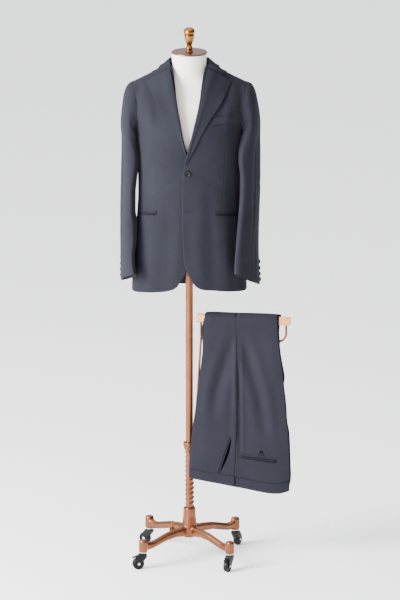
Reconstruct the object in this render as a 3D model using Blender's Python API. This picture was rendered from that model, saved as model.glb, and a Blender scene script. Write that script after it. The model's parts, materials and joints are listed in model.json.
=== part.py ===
"""Two-piece suit on a limbless dress form: notch-lapel jacket worn on the form, trousers over its bar.

Metres, +Z up. The jacket faces -Y and the wearer's left is +X. All is modelled about the pole's
axis and moved by FRAME_SHIFT, so that the origin is the middle of the footprint, on the floor.
A cloth panel is a wall on a surface function: a grid of its points and the same grid moved in.
"""

import itertools
import math

import bmesh
import bpy
from mathutils import Matrix, Vector

# Frame and cloth
FRAME_SHIFT = Vector((-0.05217, 0.00632, 0.0))
SEAM = 0.0003
ARMHOLE_GAP = 0.0007
COAT_WALL = 0.0020
TROUSER_WALL = 0.0015
OVERLAP_LIFT = 0.0030
LAPEL_WALL = 0.0018
LAPEL_LIFT = 0.0022
SIDES = ((1, "left"), (-1, "right"))

# Jacket body: outer half width and depths of the rounded section at each height
BODY_SECTIONS = (
    # height, half width, front depth, back depth
    (0.900, 0.1900, 0.090, 0.096),
    (0.950, 0.1890, 0.094, 0.099),
    (1.020, 0.1865, 0.100, 0.103),
    (1.100, 0.1795, 0.106, 0.101),
    (1.180, 0.1720, 0.111, 0.092),
    (1.260, 0.1680, 0.116, 0.085),
    (1.340, 0.1690, 0.123, 0.091),
    (1.400, 0.1730, 0.128, 0.101),
    (1.440, 0.1755, 0.130, 0.106),
    (1.520, 0.1780, 0.130, 0.110),
)
SECTION_POWER = 2.4
CHEST_Z = 1.440
SEAM_BEND_Z = 1.400
FRONT_SEAM_ANGLE = 70.0
BACK_SEAM_ANGLE = 115.0

# Shoulder line and neckline
NECK_X = 0.0640
NECK_Z = 1.6840
SHOULDER_TIP_X = 0.1873
SHOULDER_TIP_Z = 1.6227
SHOULDER_Y = 0.0020
BACK_NECK_Y = 0.0680
BACK_NECK_Z = 1.6640
FRONT_DOME = (2.0, 1.6)
BACK_DOME = (3.0, 1.7)

# Armhole: a leaning ring, from the shoulder tip (0 degrees) by the front (90) to the underarm (180)
ARMHOLE_FRONT_ANGLE = 125.0
ARMHOLE_BACK_ANGLE = 235.0

# Front edges, the break of each lapel and the roll line over it, as distance from the centre line,
# positive towards the panel's own side
LEFT_EDGE = (
    # height, distance
    (0.9420, 0.0460), (0.9450, 0.0360), (0.9520, 0.0240), (0.9700, 0.0100), (0.9960, -0.0040),
    (1.0260, -0.0150), (1.0930, -0.0215), (1.1660, -0.0240), (1.2410, -0.0240), (1.3260, -0.0230),
    (1.3700, -0.0170), (1.4140, -0.0060), (1.4640, 0.0060), (1.5370, 0.0240), (1.6230, 0.0440),
    (1.6600, 0.0560), (1.6840, 0.0640),
)
RIGHT_EDGE = (
    # height, distance
    (0.9335, 0.0840), (0.9365, 0.0690), (0.9460, 0.0470), (0.9650, 0.0330), (0.9880, 0.0150),
    (1.0100, 0.0090), (1.0500, 0.0000), (1.1000, -0.0100), (1.1500, -0.0160), (1.2170, -0.0190),
    (1.3300, -0.0190), (1.3650, -0.0100), (1.3950, 0.0055), (1.4140, 0.0100), (1.5370, 0.0330),
    (1.6400, 0.0530), (1.6840, 0.0640),
)
SIDE_HEM_Z = {1: 0.9260, -1: 0.9230}
BACK_HEM_Z = 0.9140
LAPEL_BREAK_Z = {1: 1.3740, -1: 1.4060}
GORGE_Z = 1.6690
LEFT_LAPEL = (
    # share of height, distance, height: the outer edge from the break to the lapel's point
    (0.00, -0.0105, 1.3755), (0.12, 0.0060, 1.4060), (0.30, 0.0310, 1.4560), (0.50, 0.0630, 1.5130),
    (0.70, 0.0945, 1.5580), (0.85, 0.1140, 1.5900), (1.00, 0.1340, 1.6280),
)
RIGHT_LAPEL = (
    # share of height, distance, height
    (0.00, 0.0140, 1.4080), (0.15, 0.0290, 1.4280), (0.30, 0.0430, 1.4500), (0.50, 0.0650, 1.4900),
    (0.70, 0.0900, 1.5420), (0.88, 0.1180, 1.5940), (1.00, 0.1360, 1.6260),
)
NECKLINE_SHARE = 0.55
COLLAR = (
    # share from centre back, stand height, lean, edge x, edge z, edge side (1 back, 0 shoulder, -1 front)
    (0.00, 0.0240, 0.0100, 0.0000, 1.6400, 1.0),
    (0.22, 0.0230, 0.0100, 0.0400, 1.6400, 1.0),
    (0.40, 0.0150, 0.0070, 0.0740, 1.6480, 1.0),
    (0.55, 0.0110, 0.0030, 0.0920, 1.6690, 0.0),
    (0.78, 0.0120, 0.0020, 0.1060, 1.6590, -1.0),
    (1.00, 0.0018, 0.0012, 0.1225, 1.6510, -1.0),
)
NOTCH_SHARE = 0.61
LAPEL_NOTCH_RISE = 0.0035
COLLAR_NOTCH_SHARE = 0.72
COLLAR_NOTCH_DIP = 0.0080
COLLAR_FOLD = 0.35
COLLAR_CLEARANCE = 0.0070

# Sleeves: a ring at each share of the length, from the armhole to the cuff
LEFT_SLEEVE = (
    # share, x, y, z, half length, half thickness, turn, pitch, curl, cuff slope
    (0.000, 0.1800, 0.002, 1.5390, 0.0660, 0.0840, 0.0, 85.0, 0.009, 0.00),
    (0.035, 0.1885, 0.001, 1.5355, 0.0670, 0.0830, 0.0, 81.0, 0.006, 0.00),
    (0.075, 0.1960, 0.000, 1.5240, 0.0680, 0.0740, 0.0, 74.5, 0.003, 0.00),
    (0.115, 0.2005, -0.001, 1.5050, 0.0690, 0.0590, 1.0, 66.0, 0.001, 0.00),
    (0.160, 0.2035, -0.006, 1.4760, 0.0695, 0.0400, 6.0, 45.0, 0.000, 0.00),
    (0.210, 0.2034, -0.012, 1.4430, 0.0700, 0.0266, 12.0, 5.0, 0.000, 0.00),
    (0.290, 0.1994, -0.029, 1.3900, 0.0700, 0.0258, 21.0, 0.0, 0.000, 0.00),
    (0.430, 0.2008, -0.027, 1.3000, 0.0700, 0.0240, 22.0, 0.0, 0.000, 0.00),
    (0.590, 0.1966, -0.036, 1.2000, 0.0690, 0.0240, 24.0, 0.0, 0.000, 0.02),
    (0.750, 0.1910, -0.059, 1.1000, 0.0680, 0.0230, 28.0, 0.0, 0.000, 0.08),
    (0.890, 0.1890, -0.068, 1.0200, 0.0660, 0.0220, 34.0, 0.0, 0.000, 0.28),
    (1.000, 0.1903, -0.070, 0.9730, 0.0640, 0.0210, 38.0, 0.0, 0.000, 0.47),
)
RIGHT_SLEEVE = (
    # share, x, y, z, half length, half thickness, turn, pitch, curl, cuff slope
    (0.000, 0.1800, 0.002, 1.5390, 0.0660, 0.0840, 0.0, 85.0, 0.009, 0.00),
    (0.035, 0.1885, 0.001, 1.5340, 0.0670, 0.0800, 0.0, 81.0, 0.006, 0.00),
    (0.075, 0.1945, 0.000, 1.5190, 0.0680, 0.0710, 0.0, 74.5, 0.003, 0.00),
    (0.115, 0.1975, -0.001, 1.4980, 0.0690, 0.0550, 1.0, 66.0, 0.001, 0.00),
    (0.160, 0.1990, -0.003, 1.4700, 0.0695, 0.0360, 4.0, 45.0, 0.000, 0.00),
    (0.210, 0.2008, -0.004, 1.4400, 0.0700, 0.0217, 5.0, 5.0, 0.000, 0.00),
    (0.290, 0.1978, -0.005, 1.3900, 0.0700, 0.0240, 7.0, 0.0, 0.000, 0.00),
    (0.430, 0.2001, -0.008, 1.3000, 0.0700, 0.0236, 8.0, 0.0, 0.000, 0.00),
    (0.590, 0.2016, -0.013, 1.2000, 0.0690, 0.0238, 9.0, 0.0, 0.000, 0.00),
    (0.750, 0.2030, -0.023, 1.1000, 0.0680, 0.0220, 11.0, 0.0, 0.000, 0.05),
    (0.890, 0.2031, -0.036, 1.0200, 0.0660, 0.0190, 14.0, 0.0, 0.000, 0.20),
    (1.000, 0.2000, -0.047, 0.9730, 0.0640, 0.0180, 18.0, 0.0, 0.000, 0.38),
)
SLEEVE_SEAM_FRONT = 112.0
SLEEVE_SEAM_BACK = 252.0
SLEEVE_DROP = 0.43
CUFF_BUTTON_TOP = 0.862
CUFF_BUTTON_SHARE = 0.14
CUFF_BUTTON_SPACING = 0.0150
CUFF_BUTTON_RADIUS = 0.0072
CUFF_BUTTON_THICKNESS = 0.0026
FRONT_BUTTON_RADIUS = 0.0105
FRONT_BUTTON_THICKNESS = 0.0036
FRONT_BUTTON_X = -0.0060
FRONT_BUTTON_Z = 1.3430
POCKET_Z = 1.2050
POCKET_SLOPE = -0.16
LEFT_POCKET_X = (0.0830, 0.1510)
RIGHT_POCKET_X = (0.1080, 0.1600)
JET_HEIGHT = 0.0050
WELT_X = (0.0760, 0.1395)
WELT_Z = 1.5150
WELT_HEIGHT = 0.0230

# Dress form
FORM_SECTIONS = (
    # height, half width, front depth, back depth
    (1.0450, 0.1200, 0.0620, 0.0600), (1.0480, 0.1380, 0.0760, 0.0720), (1.0600, 0.1460, 0.0820, 0.0780),
    (1.1200, 0.1500, 0.0860, 0.0790), (1.2000, 0.1510, 0.0920, 0.0720), (1.2600, 0.1510, 0.0980, 0.0680),
    (1.3400, 0.1520, 0.1060, 0.0740), (1.4400, 0.1560, 0.1130, 0.0900), (1.5100, 0.1570, 0.1040, 0.0930),
    (1.5600, 0.1540, 0.0880, 0.0880), (1.5950, 0.1400, 0.0690, 0.0760), (1.6250, 0.1120, 0.0520, 0.0640),
    (1.6450, 0.0760, 0.0480, 0.0560), (1.6600, 0.0600, 0.0490, 0.0550), (1.6800, 0.0565, 0.0500, 0.0550),
    (1.7187, 0.0560, 0.0550, 0.0560),
)
FORM_POWER = 2.3
CAP_PROFILE = (
    # radius, height
    (0.0, 1.7190), (0.0580, 1.7190), (0.0592, 1.7204), (0.0592, 1.7226), (0.0580, 1.7240), (0.0, 1.7240),
)
FINIAL_PROFILE = (
    # radius, height
    (0.0, 1.7243), (0.0125, 1.7243), (0.0130, 1.7265), (0.0085, 1.7295), (0.0118, 1.7350), (0.0110, 1.7395),
    (0.0075, 1.7440), (0.0110, 1.7510), (0.0142, 1.7620), (0.0168, 1.7740), (0.0170, 1.7780),
    (0.0142, 1.7810), (0.0180, 1.7850), (0.0185, 1.7895), (0.0172, 1.7950), (0.0135, 1.8005),
    (0.0070, 1.8042), (0.0, 1.8052),
)

# Column, spring and base
POLE_RADIUS = 0.0125
POLE_BOTTOM = 0.0850
POLE_TOP = 1.0447
COLLAR_Z = (0.3735, 0.3860)
COLLAR_RADIUS = 0.0185
HUB_BORE_RADIUS = 0.0130
HUB_PROFILE = (
    # outer radius, height, top to bottom
    (0.0165, 0.1740), (0.0200, 0.1735), (0.0206, 0.1715), (0.0212, 0.1450), (0.0250, 0.1150),
    (0.0270, 0.1000), (0.0250, 0.0760), (0.0230, 0.0730),
)
SPRING_WIRE = 0.0015
SPRING_RADIUS = 0.0153
SPRING_TURNS = 12
SPRING_BOTTOM = 0.1743
SPRING_TOP = 0.3732
LEG_REACH = 0.2030
BASE_TURN = -3.8
LEG_ANGLES = {"FL": 225 + BASE_TURN, "FR": 315 + BASE_TURN, "BR": 45 + BASE_TURN, "BL": 135 + BASE_TURN}
LEG_ROWS = (
    # reach, top, bottom, width
    (0.0190, 0.1110, 0.0760, 0.0260), (0.0600, 0.1085, 0.0810, 0.0230), (0.1000, 0.1035, 0.0780, 0.0210),
    (0.1350, 0.0945, 0.0690, 0.0200), (0.1650, 0.0865, 0.0620, 0.0200), (0.1800, 0.0870, 0.0610, 0.0220),
    (0.1980, 0.0920, 0.0610, 0.0240),
)
SOCKET_RADIUS = 0.0150
SOCKET_Z = (0.0580, 0.1000)
STEM_RADIUS = 0.0053
STEM_TOP = 0.0840
WHEEL_RADIUS = 0.0200
WHEEL_WIDTH = 0.0150
WHEEL_SIDES = 20
CASTER_TRAIL = 0.0170
CASTER_ANGLES = {"FL": 195.0, "FR": 243.0, "BR": 60.0, "BL": 150.0}
BRAKED = ("FL", "FR")
BRAKE_OUTLINE = (
    # from the stem's axis, height
    (0.0188, 0.0475), (0.0188, 0.0450), (0.0270, 0.0425), (0.0370, 0.0395), (0.0378, 0.0412),
    (0.0275, 0.0450),
)
BRAKE_PIVOT = Vector((0.0200, 0.0, 0.0462))
BRAKE_HALF_WIDTH = 0.0060
PEDAL_OUTLINE = (
    # distance from the pole's axis, height
    (0.0290, 0.0810), (0.0500, 0.0850), (0.0620, 0.0600), (0.0700, 0.0620), (0.0670, 0.0980),
    (0.0590, 0.1240), (0.0510, 0.1210), (0.0540, 0.1000), (0.0460, 0.0950), (0.0290, 0.0920),
)
PEDAL_HALF_WIDTH = 0.0085
PEDAL_PIVOT = Vector((-0.0330, 0.0, 0.0865))
LUG_HALF_WIDTH = 0.0035
PIN_RADIUS = 0.0020
CHEEK_GAP = 0.0004
WHEEL_ROOM = 0.0012
AXLE_RADIUS = 0.0033
CHEEK_WALL = 0.0025

# Rack: the bar turns its far end towards the front
RACK_ANGLE = -9.0
BAR_CENTRE = Vector((0.1785, -0.0365, 0.8280))
BAR_HALF_LENGTH = 0.1560
BAR_HALF_DEPTH = 0.0100
BAR_HALF_HEIGHT = 0.0140
ROD_RADIUS = 0.0039
RAIL_Z = 0.7560
STRUT_FOOT_Z = 0.3980
CLAMP_Z = (0.3863, 0.3980)
CLAMP_RADIUS = 0.0210

# Trousers: edges of the folded stack along the bar's line, and what hangs in front and behind
FRONT_EDGES = (
    # height, left edge, right edge, distances from the bar's middle along it
    (0.2400, -0.1790, 0.1560), (0.3100, -0.1780, 0.1590), (0.3740, -0.1750, 0.1570),
    (0.4390, -0.1690, 0.1540), (0.5050, -0.1600, 0.1490), (0.6350, -0.1440, 0.1360),
    (0.7700, -0.1290, 0.1180), (0.8320, -0.1250, 0.1140),
)
BACK_EDGES = (
    # height, left edge, right edge
    (0.3900, -0.1050, 0.1020), (0.6000, -0.1140, 0.1080), (0.8320, -0.1250, 0.1140),
)
WAIST_Z = ((0.00, 0.2830), (0.30, 0.2680), (0.60, 0.2520), (0.85, 0.2420), (0.95, 0.2440), (1.00, 0.2520))
HEM_Z = 0.3950
FOLD_RADIUS = 0.0106
FOLD_CENTRE_Z = 0.8320
FRONT_SHARE = 0.66
FOLD_SHARE = 0.74
WAISTBAND_HEIGHT = 0.0320
WAISTBAND_LIFT = 0.0010
LOOP_ACROSS = 0.440
LOOP_WIDTH = 0.030
POCKET_ACROSS = (0.504, 0.868)
POCKET_ALONG = 0.1290
POCKET_WELT = 0.0062
BUTTON_PLACE = (0.722, 0.1450)
SLASH_START = (0.386, 0.193)
SLASH_END = (0.280, 0.0440)
SLASH_WIDTH = 0.018
STANDS_STILL = ("base", "caster", "brake", "foot", "column_spring")
CORE_GAP = 0.0005
CORE_COLUMNS = (0.012, 0.11, 0.22, 0.33, 0.42, 0.49, 0.57, 0.68, 0.80, 0.91, 0.988)
SEAM_SHARE = ((0.00, 0.450), (0.15, 0.465), (0.35, 0.470), (0.66, 0.435), (0.74, 0.440), (1.00, 0.470))
CORE_THICKNESS = (
    # share of length, thickness at the middle
    (0.00, 0.0110), (0.12, 0.0140), (0.30, 0.0120), (0.50, 0.0075), (0.66, 0.0052), (0.74, 0.0052),
    (1.00, 0.0062),
)


def remove_all():
    for item in list(bpy.data.objects):
        bpy.data.objects.remove(item, do_unlink=True)


def material(name, colour, roughness, metallic=0.0):
    made = bpy.data.materials.get(name)
    if made:
        return made
    made = bpy.data.materials.new(name)
    made.use_nodes = True
    shader = made.node_tree.nodes["Principled BSDF"]
    shader.inputs["Base Color"].default_value = (*colour, 1.0)
    shader.inputs["Roughness"].default_value = roughness
    shader.inputs["Metallic"].default_value = metallic
    return made


SURFACES = {
    # name: colour, roughness, metallic
    "jacket_cloth": ((0.075, 0.080, 0.115), 0.85, 0.0),
    "trouser_cloth": ((0.052, 0.056, 0.085), 0.85, 0.0),
    "button_black": ((0.012, 0.012, 0.018), 0.35, 0.0),
    "form_cream": ((0.86, 0.80, 0.70), 0.75, 0.0),
    "bronze": ((0.48, 0.20, 0.08), 0.38, 1.0),
    "gold_bronze": ((0.58, 0.28, 0.08), 0.25, 1.0),
    "cap_bronze": ((0.32, 0.17, 0.15), 0.30, 1.0),
    "pale_wood": ((0.80, 0.58, 0.40), 0.55, 0.0),
    "caster_black": ((0.015, 0.015, 0.016), 0.40, 0.0),
    "steel": ((0.62, 0.62, 0.62), 0.30, 1.0),
}


def add_object(name, vertices, faces, slot, smooth_angle=35.0):
    mesh = bpy.data.meshes.new(name)
    mesh.from_pydata([tuple(v) for v in vertices], [], faces)
    grid = bmesh.new()
    grid.from_mesh(mesh)
    bmesh.ops.recalc_face_normals(grid, faces=grid.faces)
    if grid.calc_volume(signed=True) < 0:
        bmesh.ops.reverse_faces(grid, faces=grid.faces)
    grid.to_mesh(mesh)
    grid.free()
    mesh.shade_smooth()
    mesh.set_sharp_from_angle(angle=math.radians(smooth_angle))
    made = bpy.data.objects.new(name, mesh)
    made.data.materials.append(material(slot, *SURFACES[slot]))
    bpy.context.collection.objects.link(made)
    return made


def clamp(value, low=0.0, high=1.0):
    return max(low, min(high, value))


def mix(a, b, share):
    return a + (b - a) * share


def ease(share):
    share = clamp(share)
    return share * share * (3.0 - 2.0 * share)


def between(low, high, value):
    """An eased 0 to 1 as value goes from low to high."""
    return ease((value - low) / (high - low))


def tent(value, peak):
    return value / peak if value < peak else (1.0 - value) / (1.0 - peak)


def table_value(table, at, column):
    """A table's column at a value of its first column, by a smooth curve through its rows."""
    last = len(table) - 1
    at = clamp(at, table[0][0], table[last][0])
    k = 0
    while k < last - 1 and at > table[k + 1][0]:
        k += 1

    def slope(i):
        if i == 0 or i == last:
            j = min(i, last - 1)
            return (table[j + 1][column] - table[j][column]) / (table[j + 1][0] - table[j][0])
        before = (table[i][column] - table[i - 1][column]) / (table[i][0] - table[i - 1][0])
        after = (table[i + 1][column] - table[i][column]) / (table[i + 1][0] - table[i][0])
        return 0.0 if before * after <= 0 else 2.0 * before * after / (before + after)

    low, high = table[k], table[k + 1]
    span = high[0] - low[0]
    u = (at - low[0]) / span
    return ((1 + 2 * u) * (1 - u) ** 2 * low[column] + u * (1 - u) ** 2 * span * slope(k)
            + u * u * (3 - 2 * u) * high[column] - u * u * (1 - u) * span * slope(k + 1))


# ---------------------------------------------------------------- cloth walls

def wall(name, surface, columns, rows, slot, thickness, outward=1.0, flat_top=False, ends=(None, None)):
    """A closed wall of cloth. surface(s, t) gives its outer points, and outward the side they face."""
    step = 0.004
    outer, inner = [], []
    for t in rows:
        for s in columns:
            point = surface(s, t)
            along = surface(min(s + step, 1.0), t) - surface(max(s - step, 0.0), t)
            up = surface(s, min(t + step, 1.0)) - surface(s, max(t - step, 0.0))
            normal = along.cross(up)
            if flat_top and t > 0.999:
                normal.y = 0.0
            normal.normalize()
            end = ends[0] if s < 0.001 else ends[1] if s > 0.999 else None
            if end and end(t):
                normal = end(t) * outward
            outer.append(point)
            inner.append(point - normal * (thickness * outward))
    wide, high = len(columns), len(rows)
    count = wide * high
    faces = []
    for j in range(high - 1):
        for i in range(wide - 1):
            a = j * wide + i
            quad = (a, a + 1, a + wide + 1, a + wide)
            faces.append(quad)
            faces.append(tuple(count + k for k in reversed(quad)))
    rim = [i for i in range(wide)]
    rim += [j * wide + wide - 1 for j in range(1, high)]
    rim += [(high - 1) * wide + i for i in range(wide - 2, -1, -1)]
    rim += [j * wide for j in range(high - 2, 0, -1)]
    for k, a in enumerate(rim):
        b = rim[(k + 1) % len(rim)]
        faces.append((b, a, count + a, count + b))
    return add_object(name, outer + inner, faces, slot, 50.0)


def shares(count):
    return [i / (count - 1) for i in range(count)]


# ---------------------------------------------------------------- jacket body

def body_size(z):
    z = clamp(z, BODY_SECTIONS[0][0], CHEST_Z)
    return [table_value(BODY_SECTIONS, z, k) for k in (1, 2, 3)]


def section_depth(x, half, depth):
    share = clamp(abs(x) / half)
    return depth * (1.0 - share ** SECTION_POWER) ** (1.0 / SECTION_POWER)


def section_point(angle, z):
    """A point of the body's section: 0 degrees is the centre front, 180 the centre back."""
    half, front, back = body_size(z)
    turn = math.radians(angle)
    x = half * abs(math.sin(turn)) ** (2.0 / SECTION_POWER)
    reach = abs(math.cos(turn)) ** (2.0 / SECTION_POWER)
    return Vector((x, -front * reach if angle < 90.0 else back * reach, z))


def shoulder_z(x):
    return NECK_Z + (SHOULDER_TIP_Z - NECK_Z) * (x - NECK_X) / (SHOULDER_TIP_X - NECK_X)


def back_top(x):
    """Height and depth of the back's top edge: the neckline, then the shoulder line."""
    if x >= NECK_X:
        return shoulder_z(x), SHOULDER_Y
    share = clamp(x / NECK_X)
    reach = math.sqrt(1.0 - share ** 2.2)
    return mix(BACK_NECK_Z, NECK_Z, share ** 3), mix(SHOULDER_Y, BACK_NECK_Y, reach)


def front_y(x, z):
    half, front, _ = body_size(z)
    if z <= CHEST_Z:
        return -section_depth(x, half, front)
    rise = clamp((z - CHEST_Z) / (shoulder_z(x) - CHEST_Z))
    low, high = FRONT_DOME
    chest = -section_depth(min(abs(x), 0.95 * half), half, front)
    return SHOULDER_Y + (chest - SHOULDER_Y) * (1.0 - rise ** low) ** (1.0 / high)


def back_y(x, z):
    half, _, back = body_size(z)
    if z <= CHEST_Z:
        return section_depth(x, half, back)
    top_z, top_y = back_top(abs(x))
    rise = clamp((z - CHEST_Z) / (top_z - CHEST_Z))
    low, high = BACK_DOME
    chest = section_depth(min(abs(x), 0.95 * half), half, back)
    return top_y + (chest - top_y) * (1.0 - rise ** low) ** (1.0 / high)


def mirrored(point, side):
    return Vector((point.x * side, point.y, point.z))


def sleeve_ring(table, share, angle):
    """A point round the sleeve: 0 degrees outside, 90 front, 180 inside, 270 back."""
    x, y, z, reach, thick, turn, pitch, curl, slope = (table_value(table, share, k) for k in range(1, 10))
    turn, pitch, angle = math.radians(turn), math.radians(pitch), math.radians(angle)
    front = Vector((-math.sin(turn), -math.cos(turn), slope))
    out = Vector((math.cos(turn) * math.cos(pitch), -math.sin(turn) * math.cos(pitch), math.sin(pitch)))
    point = Vector((x, y, z)) + front * (reach * math.sin(angle)) + out * (thick * math.cos(angle))
    point.x -= curl * math.sin(angle) ** 2
    return point


def armhole(angle):
    return sleeve_ring(LEFT_SLEEVE, 0.0, angle)


def body_seam(angle, armhole_angle, z):
    """The seam between a panel and the side panel, at a height."""
    top = armhole(armhole_angle)
    if z <= SEAM_BEND_Z:
        return section_point(angle, z)
    low = section_point(angle, SEAM_BEND_Z)
    return low.lerp(top, clamp((z - SEAM_BEND_Z) / (top.z - SEAM_BEND_Z)))


def seam_normal(angle, side):
    """The body's outward direction along a side seam, the same for the two panels that meet there."""
    half, front, back = body_size(SEAM_BEND_Z)
    point = section_point(angle, SEAM_BEND_Z)
    depth = front if point.y < 0 else back
    x = (point.x / half) ** (SECTION_POWER - 1.0) / half
    y = (abs(point.y) / depth) ** (SECTION_POWER - 1.0) / depth
    return Vector((x * side, math.copysign(y, point.y), 0.0)).normalized()


def outer_end(angle, armhole_angle, end_angle, hem_z, t):
    """The side end of a front's or back's row: up the seam, then round the armhole."""
    seam_share = 0.70
    top = armhole(armhole_angle)
    if t <= seam_share:
        return body_seam(angle, armhole_angle, mix(hem_z, top.z, t / seam_share))
    return armhole(mix(armhole_angle, end_angle, (t - seam_share) / (1.0 - seam_share)))


def seam_rows():
    """Rows up the seam, which the side panel shares, then rows round the armhole."""
    return [0.70 * k / 11 for k in range(12)] + [0.70 + 0.30 * k / 7 for k in range(1, 8)]


def row_warp(s):
    return math.sin(math.radians(80.0) * s) / math.sin(math.radians(80.0))


def inset(share, t):
    """How far a row follows the shoulder line: less by the armhole, but wholly on the last row."""
    return mix(1.0 - share ** 6, 1.0, between(0.95, 1.0, t))


def trimmed(share, near, far):
    """A share of 0 to 1 with both its ends drawn in."""
    return mix(near, 1.0 - far, share)


def front_panel(side):
    edge = LEFT_EDGE if side > 0 else RIGHT_EDGE
    low, high = edge[0][0], edge[-1][0]

    def surface(s, t):
        end = outer_end(FRONT_SEAM_ANGLE, ARMHOLE_FRONT_ANGLE, 0.0, SIDE_HEM_Z[side], t)
        if t <= 0.70:
            near_z = mix(low, CHEST_Z + 0.012, (t / 0.70) ** 1.6)
        else:
            near_z = mix(CHEST_Z + 0.012, high, (t - 0.70) / 0.30)
        near_x = table_value(edge, near_z, 1)
        share = row_warp(trimmed(s, 0.0, 0.0015))
        x, z = mix(near_x, end.x, share), mix(near_z, end.z, share)
        z = mix(z, shoulder_z(max(x, NECK_X)), between(0.85, 1.0, t) * inset(share, t))
        y = front_y(x, z) + (end.y - front_y(end.x, end.z)) * ease((share - 0.45) / 0.55)
        if side > 0:
            y -= OVERLAP_LIFT * (1.0 - between(0.026, 0.060, x)) * (1.0 - between(1.440, 1.485, z))
        if t > 0.999:
            y = SHOULDER_Y - SEAM / 2
        return mirrored(Vector((x, y, z)), side)

    return surface


def back_panel(side):
    def surface(s, t):
        end = outer_end(BACK_SEAM_ANGLE, ARMHOLE_BACK_ANGLE, 360.0, SIDE_HEM_Z[side], t)
        top = BACK_NECK_Z
        if t <= 0.70:
            near_z = mix(BACK_HEM_Z, CHEST_Z + 0.020, t / 0.70)
        else:
            near_z = mix(CHEST_Z + 0.020, top, (t - 0.70) / 0.30)
        share = row_warp(trimmed(s, 0.0, 0.0015))
        x = mix(SEAM / 2, end.x, share)
        blend = between(0.70, 1.0, t)
        z = mix(mix(near_z, end.z, share), back_top(x)[0], blend * inset(share, t))
        y = back_y(x, z) + (end.y - back_y(end.x, end.z)) * ease((share - 0.45) / 0.55)
        if t > 0.999 and x > NECK_X:
            y = SHOULDER_Y + SEAM / 2
        return mirrored(Vector((x, y, z)), side)

    return surface


def side_panel(side):
    def surface(s, t):
        s = trimmed(s, 0.0025, 0.0025)
        front_top = armhole(ARMHOLE_FRONT_ANGLE)
        z = mix(SIDE_HEM_Z[side], front_top.z, t)
        angle = mix(FRONT_SEAM_ANGLE, BACK_SEAM_ANGLE, s)
        if z <= SEAM_BEND_Z:
            return mirrored(section_point(angle, z), side)
        low = section_point(angle, SEAM_BEND_Z)
        top = armhole(mix(ARMHOLE_FRONT_ANGLE, ARMHOLE_BACK_ANGLE, s))
        return mirrored(low.lerp(top, (z - SEAM_BEND_Z) / (front_top.z - SEAM_BEND_Z)), side)

    return surface


def make_body():
    for side, name in SIDES:
        rows = seam_rows()

        def at_front(t, side=side):
            return None if t > 0.70 else seam_normal(FRONT_SEAM_ANGLE, side)

        def at_back(t, side=side):
            return None if t > 0.70 else seam_normal(BACK_SEAM_ANGLE, side)

        cloth = ("jacket_cloth", COAT_WALL)
        front, back, under_arm = front_panel(side), back_panel(side), side_panel(side)
        wall(f"jacket_front_{name}", front, shares(9), rows, *cloth, side, True, (None, at_front))
        wall(f"jacket_back_{name}", back, shares(7), rows, *cloth, -side, True, (None, at_back))
        ends = (lambda t, f=at_front: f(0.0), lambda t, f=at_back: f(0.0))
        wall(f"jacket_side_{name}", under_arm, shares(5), shares(12), *cloth, side, False, ends)


def sleeve_panel(side, first, last):
    table = LEFT_SLEEVE if side > 0 else RIGHT_SLEEVE

    def surface(s, t):
        angle = mix(first, last, trimmed(s, 0.0012, 0.0012))
        point = sleeve_ring(table, t, angle)
        point.x += ARMHOLE_GAP * (1.0 - between(0.0, 0.03, t))
        return mirrored(point, side)

    return surface


SLEEVE_ROWS = (
    0.0, 0.02, 0.045, 0.075, 0.105, 0.14, 0.175, 0.21, 0.29, 0.38, 0.48, 0.59, 0.70, 0.80, 0.90, 1.0,
)


def make_sleeves():
    for side, name in SIDES:
        top = sleeve_panel(side, SLEEVE_SEAM_BACK - 360.0, SLEEVE_SEAM_FRONT)
        under = sleeve_panel(side, SLEEVE_SEAM_FRONT, SLEEVE_SEAM_BACK)
        wall(f"sleeve_top_{name}", top, shares(11), SLEEVE_ROWS, "jacket_cloth", COAT_WALL, side)
        wall(f"sleeve_under_{name}", under, shares(7), SLEEVE_ROWS, "jacket_cloth", COAT_WALL, side)


def roll_x(side, z):
    return table_value(LEFT_EDGE if side > 0 else RIGHT_EDGE, z, 1)


def armhole_swell(x, z):
    """How much further forward a front lies by the armhole than the dome that it follows."""
    rise = clamp((z - 1.539) / 0.0837, -1.0, 1.0)
    end = armhole(math.degrees(math.acos(rise)))
    if z < armhole(ARMHOLE_FRONT_ANGLE).z:
        end = body_seam(FRONT_SEAM_ANGLE, ARMHOLE_FRONT_ANGLE, z)
    gain = (end.y - front_y(end.x, min(z, end.z))) * (1.0 - between(1.56, 1.61, z))
    return gain * ease((x / end.x - 0.45) / 0.55) if z > SEAM_BEND_Z else 0.0


def on_front(side, x, z, lift):
    """A point lifted off a front's outer face, at a distance from the centre line and a height."""
    step = 0.001
    y = front_y(x, z) + armhole_swell(x, z)
    if side > 0:
        lift += OVERLAP_LIFT * (1.0 - between(0.026, 0.060, x)) * (1.0 - between(1.440, 1.485, z))
    across = front_y(x + step, z) - front_y(x - step, z)
    upward = front_y(x, z + step) - front_y(x, z - step)
    normal = Vector((across, -2.0 * step, upward)).normalized()
    return mirrored(Vector((x, y, z)) + normal * lift, side)


def lapel(side):
    outline = LEFT_LAPEL if side > 0 else RIGHT_LAPEL

    def surface(s, t):
        fold_z = mix(LAPEL_BREAK_Z[side], GORGE_Z, t)
        fold_x = roll_x(side, fold_z) + 0.0004
        x = mix(fold_x, table_value(outline, t, 1), s)
        z = mix(fold_z, table_value(outline, t, 2), s)
        z += LAPEL_NOTCH_RISE * tent(s, NOTCH_SHARE) * between(0.75, 1.0, t)
        roll = 0.0030 * math.sin(math.pi * min(1.0, s * 2.2)) * (1.0 - s)
        rise = 0.0025 * between(0.6, 0.9, t)
        return on_front(side, x, z, LAPEL_LIFT + LAPEL_WALL + roll + rise)

    return surface


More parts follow.
